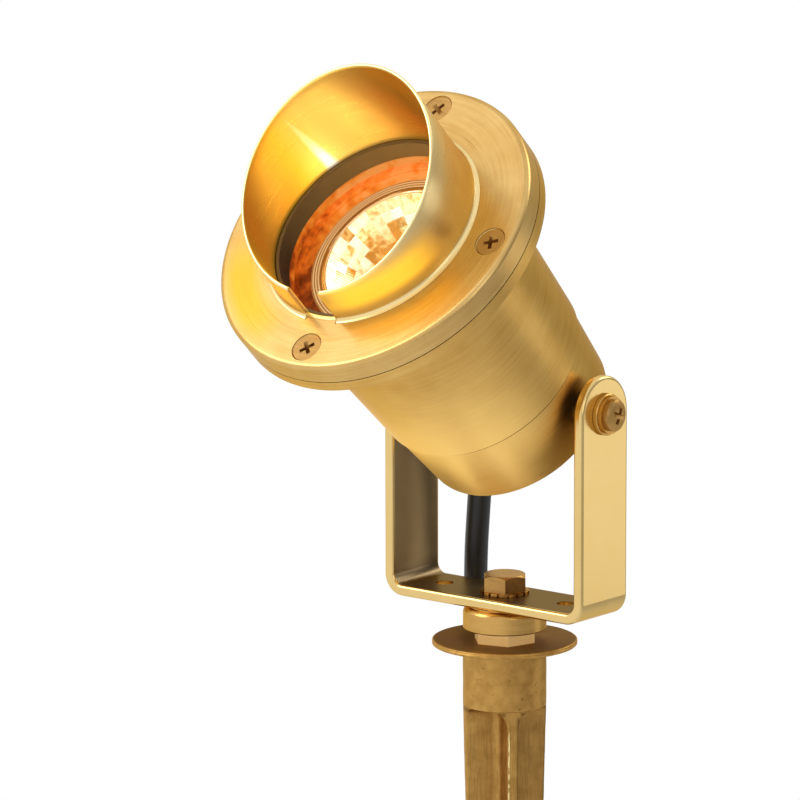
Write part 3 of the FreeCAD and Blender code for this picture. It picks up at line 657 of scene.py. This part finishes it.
# finishes: edgeTint is the metal's colour where it is seen edge on
edgeTint = (0.84, 0.68, 0.42)
brassLook = {
    # base colours, roughness and depth of the tool lines. Some have their own metal share, share of the
    # lines in the tone ("ringed") and scale of the clouds.
    "satinBrass": {"dark": (0.60, 0.34, 0.085), "light": (0.76, 0.48, 0.145), "rough": 0.33, "lines": 0.45},
    "bezelBrass": {"dark": (0.58, 0.34, 0.10), "light": (0.74, 0.50, 0.19), "rough": 0.30, "lines": 0.45},
    "shroudBrass": {"dark": (0.86, 0.64, 0.27), "light": (0.97, 0.77, 0.38), "rough": 0.30, "lines": 0.08,
                    "ringed": 0.2},
    "polishedBrass": {"dark": (0.74, 0.52, 0.20), "light": (0.80, 0.58, 0.24), "rough": 0.18, "lines": 0.0,
                      "ringed": 0.0},
    "turnedBrass": {"dark": (0.52, 0.29, 0.080), "light": (0.66, 0.40, 0.12), "rough": 0.28, "lines": 0.2},
    "castBrass": {"dark": (0.41, 0.215, 0.052), "light": (0.57, 0.325, 0.088), "rough": 0.40, "lines": 0.0,
                  "metal": 0.80, "ringed": 0.0, "clouds": 260.0},
    "screwBrass": {"dark": (0.38, 0.20, 0.058), "light": (0.62, 0.365, 0.11), "rough": 0.32, "lines": 0.15,
                   "metal": 0.80},
    "nutBrass": {"dark": (0.86, 0.54, 0.20), "light": (0.98, 0.68, 0.30), "rough": 0.24, "lines": 0.0,
                 "metal": 0.55, "ringed": 0.0},
}
toolLines = {
    "scale": 1100.0,
    "wrap": 0.0016,          # metres that one radian of a line counts for, so lines are long
    "height": 0.00002,
    "ringed": 0.4,
    "clouds": 60.0,
    "tone": (0.32, 0.68),
    "roughSpan": 0.16,
}


def along(at, degrees):
    # distance from the axis in one direction: x cos d + n sin d
    a = math.radians(degrees)
    return plus(times(at["x"], math.cos(a)), times(at["n"], math.sin(a)))


def facing(at, degrees):
    # cosine of the angle round the axis from a direction
    return maths("DIVIDE", along(at, degrees), at["radius"])


def spotsOf(tree, head=True):
    # place on the part: in the head's own frame x, n and s, or plain X, Y and Z
    spot = addNode(tree, "TexCoord").outputs["Object"]
    if head:
        lift = nodeOut(tree, "VectorMath", {0: spot, 1: (0.0, 0.0, -pivotHeight)}, operation="ADD")
        spot = nodeOut(tree, "VectorRotate", {0: lift, "Axis": (1, 0, 0),
                       "Angle": aim - math.pi / 2}, rotation_type="AXIS_ANGLE")
    x, n, s = addNode(tree, "SeparateXYZ", {0: spot}).outputs
    radius = maths("SQRT", plus(times(x, x), times(n, n)))
    return {"spot": spot, "x": x, "n": n, "s": s, "radius": radius}


def shine(shader, strength, colour):
    colour = (*colour, 1.0) if isinstance(colour, tuple) else colour
    feed(shader, {"Emission Strength": strength, "Emission Color": colour})


def brass(name, head=True, extra=None):
    # metal with a cloudy tone, and fine tool lines that run round the head's axis or round Z
    look, c = brassLook[name], toolLines
    m, tree = newMaterial(name)
    at = spotsOf(tree, head)
    angle = maths("ARCTAN2", at["n"], at["x"])
    ringSpot = nodeOut(tree, "CombineXYZ", {0: at["radius"], 1: times(angle, c["wrap"]), 2: at["s"]})
    lines = noise(ringSpot, c["scale"], 2.0, 0.55)
    cloud = noise(at["spot"], look.get("clouds", c["clouds"]), 4.0, 0.55)
    ringed = look.get("ringed", c["ringed"])
    tone = plus(times(cloud, 1 - ringed), times(lines, ringed))
    low, high = c["tone"]
    colour = ramp(tone, ((low, look["dark"]), (high, look["light"])))
    rough = plus(times(lines if ringed else cloud, c["roughSpan"]), look["rough"] - c["roughSpan"] / 2)
    shader = addNode(tree, "BsdfPrincipled", {"Metallic": look.get("metal", 1.0),
                     "Specular Tint": (*edgeTint, 1.0)})
    if extra:
        colour, rough = extra(at, colour, rough, shader)
    bump = nodeOut(tree, "Bump", {"Strength": look["lines"], "Distance": c["height"], "Height": lines})
    feed(shader, {"Base Color": colour, "Roughness": rough, "Normal": bump})
    finishMaterial(tree, shader)
    return m


# lamplight on the bezel: a warm patch of its face, low on the left. Directions are degrees round the
# head's axis, pairs are where a mask starts and is full.
bezelPatch = {
    "toward": -139.0,
    "spread": (0.82, 1.0),
    "inner": (0.036, 0.043),
    "outer": (0.053, 0.047),
    "face": (0.0895, 0.0910),
    "colour": (0.84, 0.42, 0.028),
    "weight": 0.85,
}


def bezelGlow(at, colour, rough, shader):
    c = bezelPatch
    mask = times(between(facing(at, c["toward"]), *c["spread"]), between(at["s"], *c["face"]),
                 between(at["radius"], *c["inner"]), between(at["radius"], *c["outer"]))
    return mixColour(times(mask, c["weight"]), colour, c["colour"]), rough


# lamplight on the shroud: inside it goes round from brown-gold over pale gold to deep yellow, with one
# white streak that leans and widens towards the foot. Outside there is a patch low on the near side.
shroudLight = {
    "inside": (0.0343, 0.03405),
    "foot": 0.0910,
    "insideGlow": 0.46,
    "insideWeight": 0.9,
    "side": 200.0,
    "stops": ((0.0, (0.33, 0.15, 0.016)), (0.14, (0.46, 0.22, 0.026)), (0.45, (0.84, 0.54, 0.10)),
              (0.68, (0.90, 0.60, 0.12)), (0.84, (0.90, 0.50, 0.028)), (1.0, (0.34, 0.17, 0.016))),
    "streak": 149.5,
    "streakTop": 0.121,
    "streakFade": (0.1215, 0.104),
    "lean": (0.0913, 0.115),         # s at the foot, and how far it has leant there
    "width": (0.090, 0.012, 0.090),  # s at the foot, width at the top and at the foot
    "soft": (1.0, 0.2),
    "whiteRange": (0.106, 0.094),
    "streakColours": ((1.0, 0.78, 0.34), (1.0, 0.95, 0.82)),
    "streakWeight": 0.9,
    "patch": -48.0,
    "patchSpread": (0.74, 0.98),
    "patchLow": (0.0925, 0.098),
    "patchHigh": (0.112, 0.102),
    "outside": 0.0348,
    "yellow": (0.95, 0.56, 0.040),
    "patchGlow": 0.85,
    "patchWeight": 0.7,
}


def shroudGlow(at, colour, rough, shader):
    c = shroudLight
    s, radius = at["s"], at["radius"]
    inside = times(above(s, c["foot"]), between(radius, *c["inside"]))
    turn = times(plus(facing(at, c["side"]), 0.5), 2 / 3)
    warm = ramp(turn, c["stops"])
    lean = mapped(s, c["streakTop"], c["lean"][0], 0.0, c["lean"][1])
    apart = maths("ABSOLUTE", plus(facing(at, c["streak"] + 90), lean))
    width = mapped(s, c["streakTop"], *c["width"])
    streak = times(between(maths("DIVIDE", apart, width), *c["soft"]), between(s, *c["streakFade"]),
                   above(facing(at, c["streak"]), 0.5))
    white = mixColour(between(s, *c["whiteRange"]), *c["streakColours"])
    warm = mixColour(times(streak, c["streakWeight"]), warm, white)
    patch = times(between(facing(at, c["patch"]), *c["patchSpread"]), between(s, *c["patchLow"]),
                  between(s, *c["patchHigh"]), above(radius, c["outside"]))
    lit = mixColour(patch, warm, c["yellow"])
    shine(shader, plus(times(inside, c["insideGlow"]), times(patch, c["patchGlow"])), lit)
    painted = maths("MAXIMUM", times(inside, c["insideWeight"]), times(patch, c["patchWeight"]))
    return mixColour(painted, colour, lit), rough


# the strip's inner faces are rougher and their colour is painted: the plate is grey-brown as a painted
# reflection of the dark parts above it, and the legs have painted shade on the near side and painted light
# on the far side
stripInside = {
    "reach": 0.03606,
    "floor": 0.01630,
    "edge": (0.0113, 0.0107),
    "leg": (0.018, 0.024),
    "far": (-0.006, 0.012),
    "plate": (0.36, 0.255, 0.135),
    "legNearShade": (0.22, 0.14, 0.065),
    "legFarLight": (0.66, 0.46, 0.22),
    "tint": (0.42, 0.36, 0.27),
    "rougher": 0.16,
}


def bracketInside(at, colour, rough, shader):
    c = stripInside
    inner = times(below(maths("ABSOLUTE", at["x"]), c["reach"]), above(at["s"], c["floor"]),
                  between(maths("ABSOLUTE", at["n"]), *c["edge"]))
    leg = between(at["s"], *c["leg"])
    # painted reflection on the plate, painted shade on the legs' near side and painted light on their far
    # side
    insideShade = mixColour(leg, c["plate"], c["legNearShade"])
    insideShade = mixColour(times(leg, between(at["n"], *c["far"])), insideShade, c["legFarLight"])
    feed(shader, {"Specular Tint": mixColour(inner, edgeTint, c["tint"])})
    return mixColour(inner, colour, insideShade), plus(rough, times(inner, c["rougher"]))


nutGlow = {"strength": 0.28, "colour": (0.95, 0.62, 0.24)}


def nutLift(at, colour, rough, shader):
    # painted light: the nut glows a little, so that its flats are the brightest metal under the plate
    shine(shader, nutGlow["strength"], nutGlow["colour"])
    return colour, rough


# painted shade darkens the open line between the cap and the housing, and painted light from the floor
# brightens the underside, with a little glow
capLook = {
    "gapRadius": 0.0348,
    "gap": (0.01795, 0.01885),
    "gapShade": (0.10, 0.055, 0.018),
    "under": (-0.008, -0.030),
    "underFade": (0.062, 0.010),
    "underLight": (1.0, 0.70, 0.24),
    "underWeight": 0.75,
    "glow": 0.25,
    "glowColour": (0.80, 0.46, 0.10),
}


def capTone(at, colour, rough, shader):
    c = capLook
    low, high = c["gap"]
    # painted shade inside the open line between the cap and the housing
    gap = times(below(at["radius"], c["gapRadius"]), above(at["s"], low), below(at["s"], high))
    # painted light on the underside, as from the floor, with a painted glow
    under = times(between(at["n"], *c["under"]), between(at["s"], *c["underFade"]))
    colour = mixColour(times(under, c["underWeight"]), colour, c["underLight"])
    shine(shader, times(under, c["glow"]), c["glowColour"])
    return mixColour(gap, colour, c["gapShade"]), rough


# casting: the upper face darker as painted shade and rougher, pits on the socket, an upright grain, a
# parting line along one edge of two ribs painted bright as a highlight with a little glow, and painted
# shade in the hollows by the ribs, on the faces to one side of them and under the socket's edge
castLook = {
    "topLevel": 0.0011,
    "topRadius": 0.0227,
    "topShadeColour": (0.25, 0.155, 0.050),
    "topWeight": 0.72,
    "topTint": (0.27, 0.20, 0.10),
    "topRougher": 0.08,
    "grainScale": (2400.0, 2400.0, 130.0),
    "grainBelow": (-0.0195, -0.024),
    "grainRange": (0.42, 0.70),
    "grainColour": (0.20, 0.10, 0.028),
    "grainWeight": 0.35,
    "pitScale": 620.0,
    "pitRange": (0.71, 0.745),
    "pitAbove": (-0.0197, -0.0190),
    "pitColour": (0.15, 0.07, 0.018),
    "pitWeight": 0.5,
    "waveScale": 350.0,
    "wave": 0.0007,
    "lineAt": 0.00128,
    "lineWidth": (0.00026, 0.00008),
    "lineBelow": (-0.024, -0.030),
    "lineBreaks": (0.36, 0.50),
    "ribOnly": 0.0062,
    "lineHighlightColour": (1.0, 0.76, 0.38),
    "lineWeight": 0.9,
    "lineHighlightGlow": 0.16,
    "lineHighlightGlowColour": (1.0, 0.78, 0.40),
    "hollowNear": (0.0010, 0.0016),
    "hollowFar": (0.0029, 0.0020),
    "hollowBelow": (-0.0200, -0.0225),
    "face": (0.0014, 0.0022),
    "faceBelow": (-0.0200, -0.0215),
    "edgeTop": (-0.0195, -0.0199),
    "edgeLow": (-0.0218, -0.0203),
    "edgeSide": (0.0018, 0.0030),
    "soil": (0.150, 0.072, 0.016),
    "soilWeight": 0.75,
    "faceWeight": 0.32,
}


def castTone(at, colour, rough, shader):
    c = castLook
    s, radius = at["s"], at["radius"]
    grainSpot = nodeOut(s.id_data, "VectorMath", {0: at["spot"], 1: c["grainScale"]},
                        operation="MULTIPLY")
    grain = times(between(s, *c["grainBelow"]), between(noise(grainSpot, 1.0, 2.0), *c["grainRange"]))
    colour = mixColour(times(grain, c["grainWeight"]), colour, c["grainColour"])
    pits = times(between(noise(at["spot"], c["pitScale"], 1.0), *c["pitRange"]), between(s, *c["pitAbove"]))
    colour = mixColour(times(pits, c["pitWeight"]), colour, c["pitColour"])
    # across is square to the front and back ribs
    across = along(at, spikeLook["ribTurn"])
    wave = noise(at["spot"], c["waveScale"], 3.0)
    shifted = plus(across, times(minus(wave, 0.5), c["wave"]))
    # a thin wavy band along one rib edge: the parting line, painted bright as a highlight, with a little
    # glow
    fromLine = maths("ABSOLUTE", plus(shifted, c["lineAt"]))
    onRib = above(radius, c["ribOnly"])
    line = times(between(fromLine, *c["lineWidth"]), between(s, *c["lineBelow"]),
                 between(wave, *c["lineBreaks"]), onRib)
    # painted shade: in the hollow beside the rib, on the faces to one side of it and under the socket's
    # edge
    hollow = times(between(across, *c["hollowNear"]), between(across, *c["hollowFar"]),
                   between(s, *c["hollowBelow"]), onRib)
    face = times(between(across, *c["face"]), between(s, *c["faceBelow"]))
    edge = times(between(s, *c["edgeTop"]), between(s, *c["edgeLow"]),
                 between(maths("ABSOLUTE", across), *c["edgeSide"]))
    soil = maths("MAXIMUM", times(maths("MAXIMUM", hollow, edge), c["soilWeight"]),
                 times(face, c["faceWeight"]))
    colour = mixColour(soil, colour, c["soil"])
    colour = mixColour(times(line, c["lineWeight"]), colour, c["lineHighlightColour"])
    shine(shader, times(line, c["lineHighlightGlow"]), c["lineHighlightGlowColour"])
    # painted shade: the upper face is darkened, and it is also rougher with a greyer tint
    top = times(above(s, c["topLevel"]), below(radius, c["topRadius"]))
    colour = mixColour(times(top, c["topWeight"]), colour, c["topShadeColour"])
    feed(shader, {"Specular Tint": mixColour(top, edgeTint, c["topTint"])})
    return colour, plus(rough, times(top, c["topRougher"]))


def plain(name, dark, light, rough, metallic=0.0, emission=0.0, transmission=0.0, ior=1.5):
    # mottled material between two colours
    m, tree = newMaterial(name)
    spot = addNode(tree, "TexCoord").outputs["Object"]
    cloud = noise(spot, 400.0, 4.0)
    colour = ramp(cloud, ((0.3, dark), (0.7, light)))
    shader = addNode(tree, "BsdfPrincipled", {"Base Color": colour, "Metallic": metallic,
                     "Transmission Weight": transmission, "IOR": ior,
                     "Roughness": plus(times(cloud, 0.15), rough - 0.07)})
    if emission:
        shine(shader, emission, colour)
    finishMaterial(tree, shader)
    return m


# the lamp's ring and the sleeve: painted lamplight, whose colours go round the axis from dark low left to
# bright high right, with blotches
ringLook = {
    "toward": 100.0,
    "blotchScale": 170.0,
    "orange": ((0.0, (0.16, 0.028, 0.003)), (0.30, (0.36, 0.06, 0.006)), (0.55, (0.72, 0.17, 0.012)),
               (0.80, (0.95, 0.30, 0.03)), (1.0, (1.0, 0.42, 0.10))),
    "orangeBlotch": 1.7,
    "sleeve": ((0.0, (0.012, 0.010, 0.008)), (0.35, (0.016, 0.011, 0.007)), (0.75, (0.15, 0.090, 0.028)),
               (1.0, (0.27, 0.155, 0.042))),
    "sleeveBlotch": 0.12,
    "orangeEnd": (0.0840, 0.0834),
    "lip": (0.0903, 0.0907),
    "lipColour": (0.14, 0.085, 0.028),
    "fineEnd": (0.0284, 0.0281),
    "fineRate": 6900.0,              # radians a metre
    "fine": ((0.05, (0.42, 0.16, 0.025)), (0.45, (0.72, 0.38, 0.11)), (0.9, (0.96, 0.66, 0.33))),
    "glow": 0.42,
}


def aroundTone(at, stops, mottle):
    c = ringLook
    cloud = noise(at["spot"], c["blotchScale"], 2.0, 0.6)
    blotch = times(minus(cloud, 0.5), mottle)
    # painted lamplight: brighter towards one side of the axis
    side = times(plus(facing(at, c["toward"]), 1.0), 0.5)
    return ramp(plus(side, blotch, clamp=True), stops)


def fineRings(at):
    # pale rings with brown lines between them
    wave = maths("SINE", times(at["radius"], ringLook["fineRate"]))
    return ramp(times(plus(wave, 1.0), 0.5), ringLook["fine"])


def litRing(name, sleeve):
    # the lamp's ring has fine rings inside and an orange band outside, and both glow as painted lamplight.
    # The sleeve is dark and carries a painted reflection of the orange band beside the glass.
    c = ringLook
    m, tree = newMaterial(name)
    at = spotsOf(tree)
    orange = aroundTone(at, c["orange"], c["orangeBlotch"])
    if sleeve:
        dark = aroundTone(at, c["sleeve"], c["sleeveBlotch"])
        colour = mixColour(between(at["s"], *c["orangeEnd"]), dark, orange)
        colour = mixColour(between(at["s"], *c["lip"]), colour, c["lipColour"])
    else:
        colour = mixColour(between(at["radius"], *c["fineEnd"]), orange, fineRings(at))
    shader = addNode(tree, "BsdfPrincipled", {"Base Color": colour, "Roughness": 0.5,
                     "Specular IOR Level": 0.2})
    # painted lamplight: the ring and the sleeve glow in their own colour
    shine(shader, c["glow"], colour)
    finishMaterial(tree, shader)
    return m


# the mirror's light: each facet has its own tone, from its numbers round the axis and down the bowl
mirrorLight = {
    "fineScale": 620.0,
    "fineWeight": 0.75,
    "deep": (0.80, 0.45),            # shares of the depth
    "deepWeight": 0.42,
    "hot": 222.0,                    # the lamp's brightest side
    "hotSpread": (0.80, 0.95),
    "hotDepth": (0.45, 0.70),
    "hotWeight": 0.6,
    "lines": 202.0,                  # a side with fine upright lines
    "lineSpread": (0.95, 0.99),
    "lineRate": 900.0,
    "lineRange": (-0.2, 0.5),
    "lineWeight": 0.55,
    "gold": 100.0,
    "goldSpread": (-0.2, 0.9),
    "goldWeight": 0.85,
    "brightStops": ((0.10, (0.42, 0.15, 0.02)), (0.30, (0.75, 0.38, 0.09)), (0.42, (1.0, 0.78, 0.42)),
                    (0.60, (1.0, 0.93, 0.74)), (1.0, (1.0, 0.97, 0.88))),
    "goldStops": ((0.10, (0.55, 0.26, 0.05)), (0.34, (0.90, 0.62, 0.26)), (0.70, (1.0, 0.84, 0.50)),
                  (1.0, (1.0, 0.93, 0.72))),
    "bowlRadius": 0.02335,
    "bowlGlow": 0.72,
    "rimGlow": 0.14,
    "rough": 0.16,
}


def mirrorFinish(shape, c):
    m, tree = newMaterial("mirrorFacets")
    at = spotsOf(tree)
    turns = plus(times(maths("ARCTAN2", at["n"], at["x"]), 0.5 / math.pi), 1.0)
    depth = maths("DIVIDE", minus(at["s"], shape["front"] - shape["depth"]), shape["depth"])
    part = maths("POWER", maths("MAXIMUM", depth, 0.0001), 1 / shape["rowPower"])
    column = maths("FLOOR", times(turns, shape["facets"]))
    row = maths("FLOOR", times(part, shape["rows"]))
    cell = nodeOut(tree, "CombineXYZ", {0: column, 1: row})
    chance = nodeOut(tree, "TexWhiteNoise", {"Vector": cell}, noise_dimensions="3D")
    fine = minus(noise(at["spot"], c["fineScale"], 1.0), 0.3)
    hot = times(between(facing(at, c["hot"]), *c["hotSpread"]), between(depth, *c["hotDepth"]))
    lines = times(between(facing(at, c["lines"]), *c["lineSpread"]),
                  between(maths("SINE", times(turns, c["lineRate"])), *c["lineRange"]))
    tone = plus(chance, times(fine, c["fineWeight"]))
    tone = minus(tone, times(between(depth, *c["deep"]), c["deepWeight"]))
    tone = plus(tone, times(hot, c["hotWeight"]))
    tone = minus(tone, times(lines, c["lineWeight"]))
    side = between(facing(at, c["gold"]), *c["goldSpread"])
    colour = mixColour(times(side, c["goldWeight"]), ramp(tone, c["brightStops"]),
                       ramp(tone, c["goldStops"]))
    outside = above(at["radius"], c["bowlRadius"])
    colour = mixColour(outside, colour, fineRings(at))
    shader = addNode(tree, "BsdfPrincipled", {"Base Color": colour, "Metallic": 1.0,
                     "Roughness": c["rough"]})
    shine(shader, plus(times(minus(1.0, outside), c["bowlGlow"]), c["rimGlow"]), colour)
    finishMaterial(tree, shader)
    return m


finish = {
    "satin_brass": brass("satinBrass"),
    "polished_brass": brass("polishedBrass", head=False, extra=bracketInside),
    "turned_brass": brass("turnedBrass", head=False),
    "cast_brass": brass("castBrass", head=False, extra=castTone),
    "screw_brass": brass("screwBrass"),
    "black_rubber": plain("gasketRubber", (0.035, 0.028, 0.022), (0.06, 0.05, 0.04), 0.45),
    "clear_glass": plain("clearGlass", (0.98, 0.98, 0.98), (1.0, 1.0, 1.0), 0.08, transmission=1.0,
                         ior=1.2),
    "quartz": plain("quartz", (1.0, 0.93, 0.78), (1.0, 0.97, 0.88), 0.1, emission=2.0),
    "mirror_glass": mirrorFinish(mirrorLook, mirrorLight),
    "ceramic": plain("ceramic", (0.75, 0.73, 0.68), (0.86, 0.85, 0.80), 0.6),
    "nickel_pin": plain("nickelPin", (0.6, 0.6, 0.58), (0.75, 0.74, 0.7), 0.25, metallic=1.0),
    "amber_glass": litRing("amberRing", False),
    "lead_sleeve": plain("leadSleeve", (0.7, 0.69, 0.65), (0.85, 0.84, 0.8), 0.7),
    "nylon": plain("nylon", (0.03, 0.03, 0.03), (0.06, 0.06, 0.06), 0.5),
    "cord_rubber": plain("cordRubber", (0.006, 0.006, 0.006), (0.012, 0.012, 0.012), 0.40),
    "tie_plastic": plain("tiePlastic", (0.012, 0.012, 0.012), (0.02, 0.02, 0.02), 0.4),
    "core_plastic": plain("corePlastic", (0.12, 0.04, 0.02), (0.18, 0.07, 0.03), 0.45),
    "copper": plain("copper", (0.6, 0.28, 0.14), (0.75, 0.4, 0.22), 0.3, metallic=1.0),
}
# nodes whose look differs from their slot's, and the scene's own pieces
own = {
    "bezel_ring": brass("bezelBrass", extra=bezelGlow),
    "front_housing": brass("satinBrass", extra=capTone),
    "rear_cap": brass("satinBrass", extra=capTone),
    "lock_nut": brass("nutBrass", head=False, extra=nutLift),
    "lens_seat": finish["amber_glass"],
    "lens_sleeve": litRing("sleeveRubber", True),
}
for part in frame["record"]["subparts"]:
    materials = frame["nodes"][part["node"]].data.materials
    materials.clear()
    materials.append(own.get(part["node"], finish[part["material_slot"]]))
for piece, look in ((cordFlex, finish["cord_rubber"]), (shroudTube, brass("shroudBrass", extra=shroudGlow)),
                    (lampMirror, finish["mirror_glass"]), (lensDisc, finish["clear_glass"]),
                    (spikeCasting, finish["cast_brass"])):
    piece.data.materials.append(look)
print("finishes are on")

# floor, background and lights
stageLook = {
    "floorLevel": -0.245,
    "floorHalf": 6.0,
    "floorGrey": (0.85, 0.85, 0.85, 1.0),
    "floorFade": (0.1, 0.7),         # metres out, where the camera begins to see it as plain white
    "floorLight": (-0.8, -0.6, 0.0),
    "floorRange": (-0.9, 0.4),
    "floorDim": 0.50,
    "ambient": 0.55,
    "toLight": (-0.70, -0.45, 0.55),
    "range": (-0.9, 0.5),
    "dim": 0.40,                     # what shiny surfaces see on the studio's dark side
    "white": (1.0, 1.0, 1.0, 1.0),
}


def dimInMetal(seen, spot, toLight, limits, dim):
    # strength 1, but seen in the metal it falls off to grey away from the light
    lit = addNode(spot.id_data, "VectorMath", {0: spot, 1: toLight}, operation="DOT_PRODUCT")
    shade = mapped(lit.outputs["Value"], *limits, dim, 1.0, "SMOOTHSTEP")
    return maths("MAXIMUM", minus(1.0, seen["Is Glossy Ray"]), shade)


def makeStage(c):
    mesh = bpy.data.meshes.new("floor")
    h, z = c["floorHalf"], c["floorLevel"]
    mesh.from_pydata([(-h, -h, z), (h, -h, z), (h, h, z), (-h, h, z)], [], [(0, 1, 2, 3)])
    floor = bpy.data.objects.new("floor", mesh)
    bpy.context.collection.objects.link(floor)
    m, tree = newMaterial("paleFloor")
    seen = addNode(tree, "LightPath").outputs
    mirrored = maths("MAXIMUM", seen["Is Glossy Ray"], seen["Is Transmission Ray"])
    spot = addNode(tree, "TexCoord").outputs["Object"]
    far = addNode(tree, "VectorMath", {0: spot, 1: (0.0, 0.0, z)}, operation="DISTANCE")
    away = between(far.outputs["Value"], *c["floorFade"])
    shown = maths("MAXIMUM", times(seen["Is Camera Ray"], away), mirrored)
    matt = addNode(tree, "BsdfDiffuse", {"Color": c["floorGrey"]})
    strength = dimInMetal(seen, spot, c["floorLight"], c["floorRange"], c["floorDim"])
    light = addNode(tree, "Emission", {"Color": c["white"], "Strength": strength})
    blend = addNode(tree, "MixShader", {0: shown, 1: matt.outputs[0], 2: light.outputs[0]})
    finishMaterial(tree, blend)
    mesh.materials.append(m)

    # the backdrop is white to look at, and lights the object less than that
    world = bpy.data.worlds.new("studio")
    bpy.context.scene.world = world
    world.use_nodes = True
    tree = world.node_tree
    tree.nodes.clear()
    seen = addNode(tree, "LightPath").outputs
    straight = maths("MAXIMUM", seen["Is Camera Ray"], seen["Is Glossy Ray"])
    straight = maths("MAXIMUM", straight, seen["Is Transmission Ray"])
    way = addNode(tree, "TexCoord").outputs["Generated"]
    toLight = tuple(Vector(c["toLight"]).normalized())
    level = dimInMetal(seen, way, toLight, c["range"], c["dim"])
    soft = addNode(tree, "Background", {"Color": c["white"], "Strength": c["ambient"]})
    white = addNode(tree, "Background", {"Color": c["white"], "Strength": level})
    blend = addNode(tree, "MixShader", {0: straight, 1: soft.outputs[0], 2: white.outputs[0]})
    addNode(tree, "OutputWorld", {"Surface": blend.outputs[0]})


lampLook = {
    # name: place, aim, size across, watts
    "keyLight": ((-0.9, -1.0, 1.1), (0, 0, 0.08), 0.9, 9.0),
    "fillLight": ((1.5, -0.6, 0.5), (0, 0, 0.06), 0.8, 2.0),
    "backLight": ((0.4, 1.2, 1.0), (0, 0, 0.08), 0.8, 5.0),
    "legLight": ((0.70, 0.83, -0.11), (0.04, 0, 0.05), 0.42, 0.36),
}


def makeLights(lamps):
    for name, (place, target, size, power) in lamps.items():
        data = bpy.data.lights.new(name, "AREA")
        data.size = size
        data.energy = power
        lamp = bpy.data.objects.new(name, data)
        lamp.location = place
        lamp.rotation_euler = (Vector(target) - Vector(place)).to_track_quat("-Z", "Y").to_euler()
        bpy.context.collection.objects.link(lamp)


makeStage(stageLook)
makeLights(lampLook)
bpy.context.scene.view_settings.view_transform = "Standard"
print("stage is lit")

bpy.context.view_layer.update()
